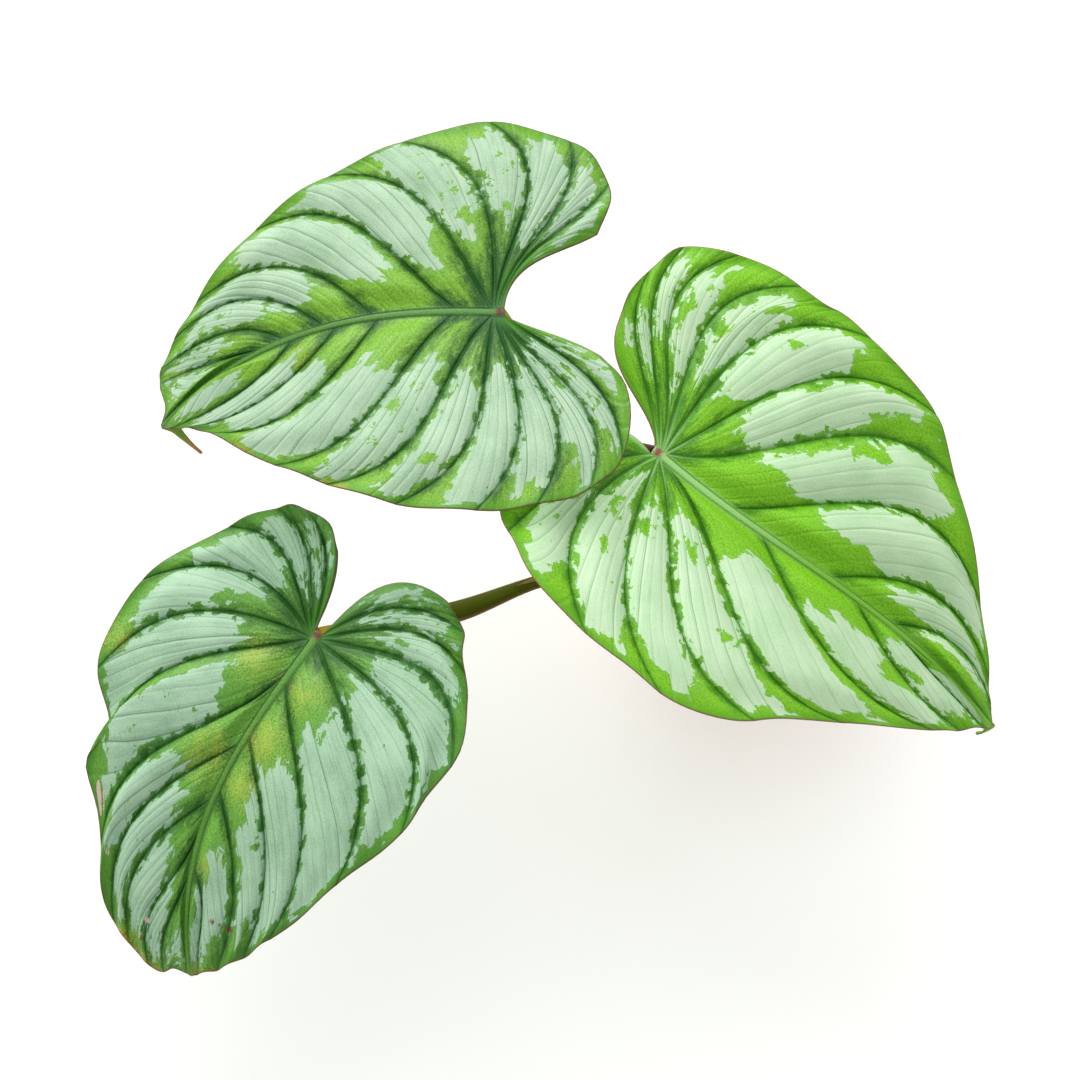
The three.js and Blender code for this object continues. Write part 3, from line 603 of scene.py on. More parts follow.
def to_room(leaf, points):
    return np.asarray(points) @ blade_turn(leaf).T + np.array(leaf["joint"])


def from_room(leaf, points):
    return (np.asarray(points) - np.array(leaf["joint"])) @ blade_turn(leaf)


# %% [markdown]
# ## Where the silver lies
# The silver of this plant is a layer of air under the skin. It fills the panels but keeps off the veins and
# the edge, and green islands are left in it.
# A point's silver value is its distance in millimetres inside a drawn patch, and it is negative outside.
# The finish later adds noise to it, which frays the edge of the patch.

# %% Silver and distances for every point of a half
OUTSIDE = -20.0
MARGIN_POINTS = 150
SINUS_POINTS = 30


def silver_rooms(half, column, share, width, reach):
    """Millimetres from a point to the sides and to both ends of its patch, and how dense that patch is."""
    rooms = np.full((*column.shape, 4), OUTSIDE)
    for panel, (strength, *rows) in enumerate(half["silver"]):
        inside = (column >= panel) & (column <= panel + 1)
        out, low, high = np.array(rows).T / 100
        s = share[inside]
        across = column[inside] - panel
        left_room = across - np.interp(s, out, low)
        right_room = np.interp(s, out, high) - across
        rooms[inside, 0] = np.minimum(left_room, right_room) * width[inside]
        rooms[inside, 1] = (s - out[0]) * reach[inside]
        rooms[inside, 2] = (out[-1] - s) * reach[inside]
        rooms[inside, 3] = strength
    for panel, *island in half["islands"]:
        inside = (column >= panel) & (column <= panel + 1)
        out, side, long, wide = np.array(island) / 100
        along = (share[inside] - out) / long
        across = (column[inside] - panel - side) / wide
        size = np.minimum(long * reach[inside], wide * width[inside])
        away = (np.hypot(along, across) - 1) * size
        rooms[inside, 0] = np.minimum(rooms[inside, 0], away)
    return rooms


def distance_to(line, points):
    """Shortest way from each point to a line of many points."""
    best = np.full(len(points), np.inf)
    for a, b in zip(line, line[1:]):
        along = b - a
        t = np.clip((points - a) @ along / max(along @ along, 1e-9), 0, 1)
        best = np.minimum(best, np.linalg.norm(points - a - t[:, None] * along, axis=1))
    return best


def margin_lines(leaf):
    """The edge of the flat blade, as a line for each half from the sinus round its lobe to the tip."""
    lines = []
    for half in leaf["halves"]:
        places = np.linspace(0, len(half["margin"]) - 1, MARGIN_POINTS)
        edge = along_curve(half["margin"], places) * (1, half["hand"])
        x, y, _ = flat_point(leaf, half, np.zeros(SINUS_POINTS), np.linspace(0, 1, SINUS_POINTS))
        lines.append(np.vstack([np.stack([x, y], 1)[:-1], edge]))
    return lines


# %% [markdown]
# ## Building a blade
# Upper and lower skin share one grid and meet in a rounded rim, so the blade has a real thickness.
# A solidify modifier would give the same thickness everywhere. Here the midrib and the veins stand out
# below, as they do on the real leaf.

# %% A skin with an upper and a lower face
class Skin:
    """Pairs of upper and lower points with the values that the finish is painted by."""

    def __init__(self):
        self.upper, self.lower, self.values, self.faces = [], [], [], []
        self.count = 0

    def add(self, upper, depth, values):
        """More points in rows. The depth leads from an upper point to the lower one."""
        upper = np.asarray(upper, float)
        shape = upper.shape[:-1]
        self.upper.append(upper.reshape(-1, 3))
        self.lower.append((upper + depth).reshape(-1, 3))
        self.values.append(np.broadcast_to(values, (*shape, VALUES)).reshape(-1, VALUES))
        ids = self.count + np.arange(int(np.prod(shape))).reshape(shape)
        self.count += ids.size
        return ids

    def grid(self, ids, flipped):
        a, b, c, d = ids[:-1, :-1], ids[1:, :-1], ids[1:, 1:], ids[:-1, 1:]
        corners = (a, d, c, b) if flipped else (a, b, c, d)
        self.faces += np.stack([k.ravel() for k in corners], 1).tolist()

    def zip_up(self, left, right):
        """Triangles between two lines of (point, x), left and right of the midrib."""
        i = j = 0
        while i < len(left) - 1 or j < len(right) - 1:
            left_next = left[i + 1][1] if i < len(left) - 1 else math.inf
            right_next = right[j + 1][1] if j < len(right) - 1 else math.inf
            if left_next < right_next:
                self.faces.append([right[j][0], left[i + 1][0], left[i][0]])
                i += 1
            else:
                self.faces.append([right[j][0], right[j + 1][0], left[i][0]])
                j += 1

    def open_edges(self):
        """The sides that only one face has, in the order that they were met."""
        edges = {}
        for face in self.faces:
            for a, b in zip(face, face[1:] + face[:1]):
                if (b, a) in edges:
                    del edges[(b, a)]
                else:
                    edges[(a, b)] = True
        return list(edges)

    def close(self, rim_bulge):
        """All points, faces and values, with a rounded rim all round."""
        upper, lower, values = (np.vstack(k) for k in (self.upper, self.lower, self.values))
        edges = self.open_edges()
        rim = sorted({a for a, _ in edges})
        number = {a: k for k, a in enumerate(rim)}
        outward = np.zeros((len(rim), 3))
        for a, b in edges:
            side = np.cross(upper[b] - upper[a], upper[a] - lower[a])
            side /= max(np.linalg.norm(side), 1e-9)
            outward[number[a]] += side
            outward[number[b]] += side
        outward /= np.maximum(np.linalg.norm(outward, axis=1), 1e-9)[:, None]
        middle = 0.5 * (upper[rim] + lower[rim]) + rim_bulge * outward
        n = self.count
        faces = self.faces + [[n + k for k in reversed(face)] for face in self.faces]
        for a, b in edges:
            middle_a, middle_b = 2 * n + number[a], 2 * n + number[b]
            faces += [[b, a, middle_a, middle_b], [middle_b, middle_a, n + a, n + b]]
        below, between = values.copy(), values[rim].copy()
        below[:, SIDE] = -1
        between[:, SIDE] = 0
        return np.vstack([upper, lower, middle]), faces, np.vstack([values, below, between])


# %% One half of a blade
def down(thick):
    return np.multiply.outer(thick, (0, 0, -1))


def add_half(skin, leaf, half):
    panels = len(half["veins"]) - 1
    step = np.arange(panels * COLUMNS_PER_PANEL + 1) / COLUMNS_PER_PANEL
    crowded = np.floor(step) + 0.5 - 0.5 * np.cos(np.pi * (step % 1))
    column, share = np.meshgrid(crowded, np.linspace(0, 1, ROWS + 1), indexing="ij")
    panel = np.minimum(np.floor(column), panels - 1)
    x, y, reach = flat_point(leaf, half, column, share)
    ax, ay, _ = flat_point(leaf, half, panel, share)
    bx, by, _ = flat_point(leaf, half, panel + 1, share)
    width = np.hypot(bx - ax, by - ay)
    across = column - panel
    to_first = np.where(panel == 0, FAR, across)
    to_last = np.where(panel == panels - 1, FAR, 1 - across)
    vein = np.minimum(to_first, to_last) * width
    groove = GROOVE_DEPTH * bell(vein, GROOVE_WIDTH) * (1 - share) * soft_step(share, 0, 0.1)
    top = blade_height(leaf, x, y) + quilt_height(leaf, half, column, share, width) - groove
    rib = np.abs(y - midrib_side(leaf, x)) - 0.5 * MIDRIB_WIDTH
    to_tip = np.maximum(x, 0) / leaf["length"]
    keel = MIDRIB_KEEL * (1 - to_tip) * bell(np.maximum(rib, 0), KEEL_WIDTH) * (x > KEEL_END)
    vein_keel = VEIN_KEEL * (1 - share) * bell(vein, VEIN_KEEL_WIDTH)
    thick = BLADE_THICKNESS + (EDGE_THICKNESS - BLADE_THICKNESS) * share**3 + keel + vein_keel
    sideways, inner, outer, strength = np.moveaxis(silver_rooms(half, column, share, width, reach), -1, 0)
    flat = np.stack([x, y], -1).reshape(-1, 2)
    margin = np.minimum(*(distance_to(line, flat) for line in margin_lines(leaf))).reshape(x.shape)
    fine_line = FINE_VEINS * column + FINE_VEIN_DRIFT * share**3
    values = np.stack([
        fine_line, share * reach, width, strength, vein, margin,
        sideways, inner, outer, rib, np.hypot(x, y), np.ones_like(x)], -1)
    ids = skin.add(np.stack([x, y, top], -1), down(thick), values)
    skin.grid(ids, half["hand"] < 0)
    border = [np.concatenate([k[:, 0], k[-1, 1:]]) for k in (ids, x, y, top)]
    return border[0], np.stack(border[1:], -1)


# %% The midrib between the halves
def midrib_values(count, depth):
    """The values of points on no panel: far from the veins and the edge, and outside all silver."""
    values = np.zeros((count, VALUES))
    values[:] = (0, 0, 10, 0, 20, 20, OUTSIDE, OUTSIDE, OUTSIDE, depth, 0, 1)
    return values


def add_midrib(skin, leaf, left, right):
    (left_ids, left_line), (right_ids, right_line) = left, right
    x = np.linspace(left_line[0, 0], left_line[-1, 0], MIDRIB_ROWS)
    to_tip = np.maximum(x, 0) / leaf["length"]
    left_edge, right_edge = (
        np.stack([np.interp(x, line[:, 0], line[:, k]) for k in (1, 2)], -1)
        for line in (left_line, right_line))
    lines = []
    for place in (0.25, 0.5, 0.75):
        middle = left_edge + place * (right_edge - left_edge)
        off_middle = abs(2 * place - 1)
        crown = MIDRIB_CROWN * (1 - off_middle**2) * (1 - 0.6 * to_tip)
        points = np.stack([x, middle[:, 0], middle[:, 1] + crown], -1)
        keel = (MIDRIB_KEEL + 0.6) * (1 - to_tip)
        values = midrib_values(len(x), -1.2 * (1 - off_middle) - 0.1)
        values[:, 1] = x
        values[:, JOINT] = np.abs(x)
        lines.append(skin.add(points, down(BLADE_THICKNESS + crown + keel), values))
    skin.grid(np.stack(lines[::-1], 0), True)
    skin.zip_up(list(zip(left_ids, left_line[:, 0])), list(zip(lines[0], x)))
    skin.zip_up(list(zip(lines[2], x)), list(zip(right_ids, right_line[:, 0])))
    return [left_ids[-1], lines[0][-1], lines[1][-1], lines[2][-1], right_ids[-1]]


# %% [markdown]
# The drip tip is a narrow strip that hangs from the end of the blade. It leaves the blade a little wider,
# and it turns as it falls, so that it shows its flat face as it does in the photograph. Stretching the last
# points of the blade would be quicker, but a strip of its own can bend more sharply.

# %% The drip tip
def add_tail(skin, leaf, ends):
    start = (leaf["length"], midrib_side(leaf, leaf["length"]), -leaf["tip_drop"])
    path = np.array([start, *leaf["tail"]], float)
    steps = TAIL_ROWS * len(leaf["tail"])
    rows = [np.array(ends)]
    for k in range(1, steps + 1):
        share = k / steps
        place = len(leaf["tail"]) * k / steps
        middle = along_curve(path, place)
        along = unit(middle - along_curve(path, place - 0.1))
        turn = leaf["tail_turn"] * min(1, 4 * share)
        aside = np.array([turn, 1 - 0.55 * turn, 0])
        aside = unit(aside - (aside @ along) * along)
        out = np.cross(along, aside)
        flare = leaf["tail_flare"] * (4 * share * np.exp(1 - 4 * share)) ** 2
        width = leaf["tail_width"] * (1 - 0.4 * share**1.5) + flare
        offsets = np.linspace(0.5, -0.5, 5)
        crown = 0.25 * (1 - (2 * offsets) ** 2)
        points = middle + np.outer(offsets * width, aside) + np.outer(crown, out)
        values = midrib_values(5, -1)
        values[:, JOINT] = TAIL_MARK + 40 * share
        rows.append(skin.add(points, np.outer(EDGE_THICKNESS + 2 * crown, -out), values))
    skin.grid(np.stack(rows, 0), False)


# %% [markdown]
# ## Marks of age
# All three leaves have yellow patches, most of all the third one along its midrib.
# That one also has dry pale patches on its edge and a few brown specks.
# Each mark is a spot with a place and a radius, and its value is the distance inside the spot.

# %% Spot values and the blade piece
def spot_values(leaf, flat):
    values = np.full((len(flat), 3), OUTSIDE)
    for k, kind in enumerate(("pale", "brown", "yellow")):
        for x, y, radius in leaf[kind]:
            inside = radius - np.hypot(flat[:, 0] - x, flat[:, 1] - y)
            values[:, k] = np.maximum(values[:, k], inside)
    return values


def blade(leaf, look):
    skin = Skin()
    left, right = (add_half(skin, leaf, half) for half in leaf["halves"])
    add_tail(skin, leaf, add_midrib(skin, leaf, left, right))
    points, faces, values = skin.close(RIM_BULGE)
    piece = make_piece(leaf["name"] + "_blade", to_room(leaf, points), faces)
    grain, marks, rooms, places = (values[:, k:k + 3] for k in range(0, VALUES, 3))
    spots = spot_values(leaf, points[:, :2])
    store(piece, grain=grain, marks=marks, rooms=rooms, places=places, flat=points, spots=spots)
    finish_piece(piece, look, leaf["name"])


# %% [markdown]
# ## The finish of a blade
# From below to above: green that is deeper along the veins, partly painted shade of the sunken valleys,
# with a bluish painted sheen and shade near the veins and the edge; silver with a ragged edge, darkened by
# painted shade near the veins; fine parallel veins; painted shade on the flanks of the veins; the midrib,
# the reddish edge, and a maroon spot at the stalk.
# One picture of the whole leaf would be simpler, but it would blur close up. Here each mark is on its own.
# The light stays soft on it, because the real leaf is satin and not wet.

# %% What the marks of a blade share
class BladeFinish(Finish):
    """A finish with the stored values of a blade and with noise for its marks."""

    def __init__(self, name, tones, seed, **habit):
        super().__init__(name, 0.5, 0.25)
        self.tones = {**habit, **{word: tone(*colour) for word, colour in tones.items()}}
        self.seed = seed
        self.grain = self.stored("grain")
        self.line, _, self.width = self.split(self.grain)
        self.strength, self.vein, self.margin = self.split(self.stored("marks"))
        self.sideways, self.inner, self.outer = self.split(self.stored("rooms"))
        self.rib, self.joint, self.side = self.split(self.stored("places"))
        self.flat = self.stored("flat")
        self.pale, self.brown, self.yellow = self.split(self.stored("spots"))
        self.specks = self.noise(self.flat, 1.3, 2, 0.6)
        self.bend = self.swirl(self.flat, 0.55)
        self.mosaic = self.chips((1.6, 0.23, 0), (seed, 0, 0), 0.9)
        self.small_mosaic = self.chips((4.2, 0.75, 0), (0, seed, 0), 1.2)
        self.blotches = self.blots((0, 0, seed), 0.17, 2, 0.5)
        self.clouds = self.blots((0, 0, seed), 0.05, 2, 0.5)
        self.wash = self.blots((seed, 9, 0), 0.075, 3, 0.6)
        self.grit = self.blots((seed, 0, 0), 1.0, 2, 0.7)
        self.fingers = self.streaks((1.3, 0.085, 0), (0, 0, seed), 2, 0.6)
        self.hairs = self.streaks((4.2, 0.05, 0), (0, 0, seed), 2, 0.6)

    def chips(self, scale, shift, bent):
        """A mosaic of random chips, stretched along the veins and bent a little."""
        drawn_out = self.stretch(self.grain, scale, shift)
        return self.cells(self.stretch(self.bend, (bent, bent, bent), drawn_out))

    def blots(self, shift, scale, detail, roughness):
        """Noise in all directions, the same on both sides of the blade."""
        return self.noise(self.stretch(self.flat, (1, 1, 0), shift), scale, detail, roughness)

    def streaks(self, scale, shift, detail, roughness):
        """Noise that is drawn out along the veins."""
        return self.noise(self.stretch(self.grain, scale, shift), 1, detail, roughness)


# %% Silver: every strip between two fine veins starts and ends at its own place
def silver_room(look):
    """Millimetres inside the silver, and less than zero outside."""
    inner = look.plus(look.inner, (look.chance(look.line, look.seed), 13.0))
    outer = look.plus(look.outer, (look.chance(look.line, look.seed + 40), 12.0))
    room = look.sum("MINIMUM", look.sum("ADD", look.sideways, 0.2), look.sum("SUBTRACT", inner, 9.0))
    room = look.sum("MINIMUM", room, look.sum("SUBTRACT", outer, 6.0))
    room = look.sum("MINIMUM", room, look.strength)
    frayed = look.step(outer, 0.0, 34.0, 3.4, 0.9)
    ragged = ((look.mosaic, 2.1), (look.small_mosaic, 0.6), (look.blotches, 1.8), (look.fingers, frayed))
    return look.plus(room, *ragged)


def silver_share(look, room):
    off_edge = look.step(look.plus(look.margin, (look.mosaic, 1.4)), 2.3, 2.5)
    off_vein = look.step(look.plus(look.vein, (look.specks, 0.15)), 0.2, 0.4)
    clear_of_both = look.sum("MULTIPLY", off_edge, off_vein)
    return look.sum("MULTIPLY", look.step(room, -0.06, 0.06), clear_of_both)


def silver_tone(look):
    shade = look.plus(look.specks, (look.hairs, 0.8), (look.clouds, 1.0))
    # Within 4 mm of a primary vein the silver is pulled towards its deep tone: painted shade of the sunken
    # valley there.
    shade = look.sum("SUBTRACT", shade, look.step(look.vein, 0.4, 4.0, 1.2, 0.0))
    return look.paint(look.tones["silver_deep"], look.tones["silver"], shade, -2.4, 1.6)


# %% Green: deep along the veins, partly its own colour and partly painted shade of the sunken valleys, fresh on the crests of the panels and near the edge
def green_tone(look, room):
    tones = look.tones
    mottling = ((look.clouds, 2.2), (look.specks, 3.2), (look.fingers, 2.6), (look.mosaic, 1.8))
    # From deep by the veins to light on the crests: the leaf's own green with painted shade of the sunken
    # valleys in it.
    crest = look.plus(look.vein, *mottling)
    crest = look.sum("SUBTRACT", crest, look.step(look.joint, 8.0, 55.0, tones["shade"], 0.0))
    crest = look.sum("SUBTRACT", crest, look.step(look.rib, 0.0, 7.0, tones["shade"], 0.0))
    green = look.paint(tones["deep"], tones["light"], crest, -3.5, tones["spread"])
    # Near the veins and the edge the green turns bluish: a painted sheen and shade.
    bluish_sheen = look.plus(look.vein, (look.wash, 2.5))
    bluish_sheen = look.sum("MINIMUM", bluish_sheen, look.plus(look.margin, (look.wash, 3.0)))
    green = look.paint(green, tones["bluish_sheen"], bluish_sheen, -1.0, 4.0, 0.5, 0.0)
    green = look.paint(green, tones["deep"], look.grit, -0.9, 0.4, 0.62, 0.0)
    green = look.paint(green, tones["spark"], look.grit, 0.2, 1.1, 0.0, 0.5)
    near_edge = look.plus(look.margin, (look.clouds, 3.0))
    green = look.paint(green, tones["edge_green"], near_edge, 1.0, 7.0, 0.6, 0.0)
    near_silver = look.plus(room, (look.mosaic, 0.8))
    return look.paint(green, tones["veil"], near_silver, -3.6, -0.6, 0.0, 0.38)


def yellowed(look, green):
    tones = look.tones
    mottle = look.plus(look.yellow, (look.blotches, 6.0), (look.grit, 12.0))
    mottle = look.sum("SUBTRACT", mottle, look.step(look.vein, 0.0, 3.0, 5.0, 0.0))
    green = look.paint(green, tones["yellow"], mottle, -7.0, 13.0, 0.0, 0.65)
    green = look.paint(green, tones["amber"], mottle, 9.0, 16.0, 0.0, 0.45)
    ripe = look.paint(green, tones["ripe"], look.margin, 0.0, 2.6, 0.8, 0.0)
    return look.paint(green, ripe, mottle, -3.0, 3.0)


# %% Fine veins: a few thin lines along every panel, some clear and some hardly seen
def fine_lines(look):
    """Millimetres to the nearest fine vein, and how clear that vein is."""
    wander = look.streaks((0.6, 0.03, 0), (0, 0, look.seed), 1, 0.5)
    thread = look.plus(look.line, (wander, 0.12))
    off_line = look.sum("PINGPONG", thread, 0.5)
    off_line = look.sum("MULTIPLY", off_line, look.sum("MULTIPLY", look.width, 1 / FINE_VEINS))
    clear = look.step(look.chance(look.sum("ADD", thread, 0.5), look.seed), 0.1, 1.0, 0.3, 0.8)
    return off_line, look.sum("MULTIPLY", clear, look.step(look.width, 3.0, 12.0, 0.1, 1.0))


def veined(look, surface, off_line, clear, on_silver):
    tones = look.tones
    fine = look.sum("MULTIPLY", look.step(off_line, 0.05, 0.42, 1.0, 0.0), clear)
    fine = look.sum("MULTIPLY", fine, look.step(on_silver, 0.0, 1.0, 0.25, 1.0))
    surface = look.mix(fine, surface, tones["fine_vein"])
    # A soft deep band on the flanks of each vein is painted shade of its groove.
    vein_flank_shade = look.plus(look.vein, (look.specks, 0.25))
    surface = look.paint(surface, tones["deep"], vein_flank_shade, 0.3, 1.2, 0.2, 0.0)
    worn = look.step(look.streaks((0.4, 0.06, 0), (0, look.seed, 0), 2, 0.5), -0.8, 0.8, 0.4, 0.8)
    surface = look.paint(surface, tones["vein"], look.vein, 0.0, 0.42, worn, 0.0)
    pale_root = look.step(look.joint, 4.0, 34.0, tones["root_vein"], 0.0)
    return look.paint(surface, tones["midrib"], look.vein, 0.0, 1.0, pale_root, 0.0)


# %% Midrib, edge, stalk end and marks of age
def edged(look, surface):
    tones = look.tones
    rib_tone = look.paint(tones["midrib"], tones["midrib_far"], look.joint, 20.0, 110.0)
    rib_tone = look.paint(rib_tone, tones["deep"], look.grit, -1.0, 0.8, tones["rib_grain"], 0.0)
    near_rib = look.plus(look.rib, (look.specks, 0.4))
    surface = look.paint(surface, rib_tone, near_rib, -0.9, 1.3, tones["rib_share"], 0.0)
    surface = look.paint(surface, tones["deep"], look.sum("ABSOLUTE", near_rib), 0.1, 0.8, 0.18, 0.0)
    surface = look.paint(surface, tones["edge"], look.margin, 0.1, 0.55, 0.7, 0.0)
    near_joint = look.plus(look.joint, (look.specks, 1.3))
    return look.paint(surface, tones["joint"], near_joint, 0.2, 3.5, 0.95, 0.0)


def aged(look, surface):
    dry = look.plus(look.pale, (look.specks, 0.7))
    scar = look.plus(look.brown, (look.specks, 0.8))
    surface = look.paint(surface, tone(206, 180, 168), dry, -0.1, 0.2)
    return look.paint(surface, tone(104, 66, 42), scar, 0.0, 0.5)


# %% Underside, rim and drip tip
def with_underside(look, surface):
    tones = look.tones
    below = look.paint(tones["under_vein"], tones["under"], look.vein, 0.3, 1.4)
    below = look.paint(below, tones["under_vein"], look.rib, -0.2, 1.4, 1.0, 0.0)
    rim = look.paint(below, tones["edge"], look.side, -0.6, -0.1)
    surface = look.paint(rim, surface, look.side, 0.1, 0.7)
    tail = look.paint(tone(110, 148, 14), tones["tail_end"], look.joint, TAIL_MARK + 18, TAIL_MARK + 32)
    return look.paint(surface, tail, look.joint, TAIL_MARK, TAIL_MARK + 2, 0.0, 0.92)


# %% The whole finish with its relief
def blade_finish(name, tones, seed, **habit):
    look = BladeFinish(name, tones, seed, **habit)
    room = silver_room(look)
    on_silver = silver_share(look, room)
    off_line, clear = fine_lines(look)
    surface = look.mix(on_silver, yellowed(look, green_tone(look, room)), silver_tone(look))
    surface = veined(look, surface, off_line, clear, on_silver)
    look.colour(with_underside(look, aged(look, edged(look, surface))))
    look.feed(look.shader.inputs["Roughness"], look.step(on_silver, 0.0, 1.0, 0.46, 0.58))
    sunken = look.step(look.vein, 0.0, 1.4, 0.0, 0.4)
    swollen = (look.step(off_line, 0.0, 1.6), look.sum("MULTIPLY", clear, 0.38))
    look.bump(look.plus(sunken, swollen, (look.hairs, 0.03), (look.specks, 0.05)), 0.9)
    return look


# %% [markdown]
# Each tone is named after the mark that it paints, and was matched to the photograph. Leaf 2 is the brightest.
# Where a leaf gives no tone of its own, it takes that of leaf 1. One set of tones would make them all alike.

# %% Colours of the three blades
TONES_1 = {
    "deep": (24, 76, 8), "light": (126, 180, 52), "spark": (164, 200, 84), "edge_green": (80, 146, 22),
    "bluish_sheen": (42, 98, 44), "veil": (104, 158, 88), "yellow": (160, 176, 60), "amber": (206, 160, 84),
    "ripe": (176, 150, 30), "silver": (178, 204, 174), "silver_deep": (126, 162, 126),
    "fine_vein": (80, 120, 82), "vein": (34, 80, 42), "midrib": (66, 120, 68), "midrib_far": (56, 112, 50),
    "edge": (112, 68, 52), "joint": (104, 34, 50), "tail_end": (186, 124, 62), "under": (110, 150, 92),
    "under_vein": (128, 142, 84)}
TONES_2 = {
    **TONES_1,
    "deep": (48, 114, 0), "light": (132, 202, 36), "spark": (160, 216, 84), "edge_green": (94, 166, 16),
    "bluish_sheen": (78, 142, 44), "veil": (124, 184, 86), "silver": (203, 230, 192), "silver_deep": (166, 208, 154),
    "fine_vein": (112, 160, 88), "vein": (48, 104, 6), "midrib": (160, 214, 128),
    "midrib_far": (124, 186, 62), "edge": (140, 92, 74), "joint": (146, 58, 82), "tail_end": (122, 156, 26),
    "under": (128, 168, 80)}
TONES_3 = {
    **TONES_1,
    "deep": (26, 78, 6), "light": (106, 164, 60), "spark": (148, 184, 96), "edge_green": (70, 132, 30),
    "bluish_sheen": (46, 100, 44), "veil": (92, 148, 86), "yellow": (172, 186, 74), "silver": (172, 204, 174),
    "silver_deep": (120, 158, 122), "fine_vein": (78, 116, 80), "vein": (36, 80, 32), "midrib": (92, 144, 62),
    "midrib_far": (72, 126, 44), "joint": (108, 32, 34), "tail_end": (176, 160, 60)}
skin_1 = blade_finish(
    "leaf skin 1", TONES_1, 3.1, shade=4.6, spread=8.5, root_vein=0.1, rib_share=0.7, rib_grain=0.6)
skin_2 = blade_finish(
    "leaf skin 2", TONES_2, 5.7, shade=1.9, spread=6.5, root_vein=0.6, rib_share=0.9, rib_grain=0.15)
skin_3 = blade_finish(
    "leaf skin 3", TONES_3, 8.3, shade=3.4, spread=7.5, root_vein=0.1, rib_share=0.6, rib_grain=0.5)
for leaf, look in ((LEAF_1, skin_1), (LEAF_2, skin_2), (LEAF_3, skin_3)):
    blade(leaf, look)


# %% [markdown]
# ## Leaf stalks
# A stalk is flat above and round below, thick at its foot and slightly swollen under the blade.
# A curve with a bevel would be the quickest way. Rings of points are used here, because the section is
# D-shaped and the streaks of the finish run along it. Near its blade, every ring stays under that skin.

# %% Rings along a curve
STALKS = [
    {
        "name": "petiole_1",
        "points": [
            (-3, 0, 121), (-26, -8, 150), (-72, -20, 210), (-109, -23, 280), (-136, -15, 338),
            (-147, -8, 358)],
        "widths": (15, 12, 9.5, 8.5, 8.2, 7.5),
        "up": (0.55, 0.1, 1),
    },
    {
        "name": "petiole_2",
        "points": [
            (15, 11, 119), (5, 3, 150), (-29, -20, 215), (-63, -42, 275), (-79, -55, 308), (-72, -65, 324)],
        "widths": (15, 12, 9.5, 8.5, 8.2, 7.5),
        "up": (0.5, 0.5, 1),
    },
    {
        "name": "petiole_3",
        "points": [
            (-22, -12, 121), (-49, -34, 155), (-91, -68, 205), (-130.5, -95, 240), (-169.5, -116.5, 253),
            (-211, -128, 260), (-236, -133, 262)],
        "widths": (15, 12, 9, 7, 11, 10.5, 8.5),
        "up": (0.15, 0.15, 1),
    },
]
FLAT_ABOVE = 0.62
ROUND_BELOW = 0.95


def curve_frame(points, place, up):
    """The point at a place of a curve, and the two directions square to the curve there."""
    low = max(place - 0.05, 0)
    high = min(place + 0.05, len(points) - 1)
    along = unit(along_curve(points, high) - along_curve(points, low))
    up = np.array(up, float)
    up = unit(up - (up @ along) * along)
    return along_curve(points, place), up, np.cross(up, along)


def angles(sides, shift=0):
    """Angles all round, in equal steps. The shift is a share of one step."""
    return 2 * np.pi * (np.arange(sides) + shift) / sides


def wall_faces(first, rings, sides):
    """Four-sided faces between rings of points. The first ring starts at the point with that number."""
    faces = []
    for start in range(first, first + (rings - 1) * sides, sides):
        for k in range(sides):
            a, b = start + k, start + (k + 1) % sides
            faces.append([a, b, b + sides, a + sides])
    return faces


def fan_faces(tip, first, sides):
    """Triangles from one point to a ring of points."""
    return [[tip, first + k, first + (k + 1) % sides] for k in range(sides)]


def tube(name, rings):
    """A closed tube from rings of points, with a flat cap at each end."""
    sides = len(rings[0])
    last = (len(rings) - 1) * sides
    caps = [list(range(sides))[::-1], list(range(last, last + sides))]
    return make_piece(name, np.vstack(rings), wall_faces(0, len(rings), sides) + caps)


def stalk_middle(stalk, share):
    """The middle of a stalk at a share of its length, its two directions there, and its width."""
    place = share * (len(stalk["points"]) - 1)
    width = along_curve(np.array(stalk["widths"])[:, None], place)[0]
    return *curve_frame(stalk["points"], place, stalk["up"]), width


# %% Stalk pieces
STALK_SIDES = 32
STALK_STEPS = 150
SEAT_REACH = 90
SEAT_GAP = 0.4
SEAT_DIP = 1.4
# The streaks are scaled to this many pieces of a stalk's curve.
STREAK_SPAN = 5


def stalk_ring(stalk, share):
    middle, up, aside, width = stalk_middle(stalk, share)
    angle = angles(STALK_SIDES)
    flatness = np.where(np.sin(angle) > 0, FLAT_ABOVE, ROUND_BELOW)
    rise = flatness * width / 2 * np.sin(angle)
    return middle + np.outer(width / 2 * np.cos(angle), aside) + np.outer(rise, up)


def under_blade(leaf, ring):
    """Keeps a ring of a stalk from showing through the blade that it carries."""
    flat = from_room(leaf, ring)
    away = np.hypot(flat[:, 0], flat[:, 1])
    if away.min() > SEAT_REACH:
        return ring
    skin = blade_height(leaf, flat[:, 0], flat[:, 1])
    flat[:, 2] = np.minimum(flat[:, 2], skin - SEAT_GAP - SEAT_DIP * soft_step(away, 2, 14))
    return to_room(leaf, flat)


def stalk_piece(stalk, leaf, look):
    shares = np.linspace(0, 1, STALK_STEPS + 1)
    rings = [under_blade(leaf, stalk_ring(stalk, share)) for share in shares]
    piece = tube(stalk["name"] + "_stalk", rings)
    middles = along_curve(stalk["points"], shares * STREAK_SPAN)
    length = np.linalg.norm(np.diff(middles, axis=0), axis=1).sum()
    share, angle = np.meshgrid(shares, angles(STALK_SIDES), indexing="ij")
    around = np.stack([np.cos(angle), share, np.zeros_like(share)], -1)
    bark = np.stack([3 * np.cos(angle), 3 * np.sin(angle), share * length], -1)
    store(piece, round=around, bark=bark)
    finish_piece(piece, look, stalk["name"])


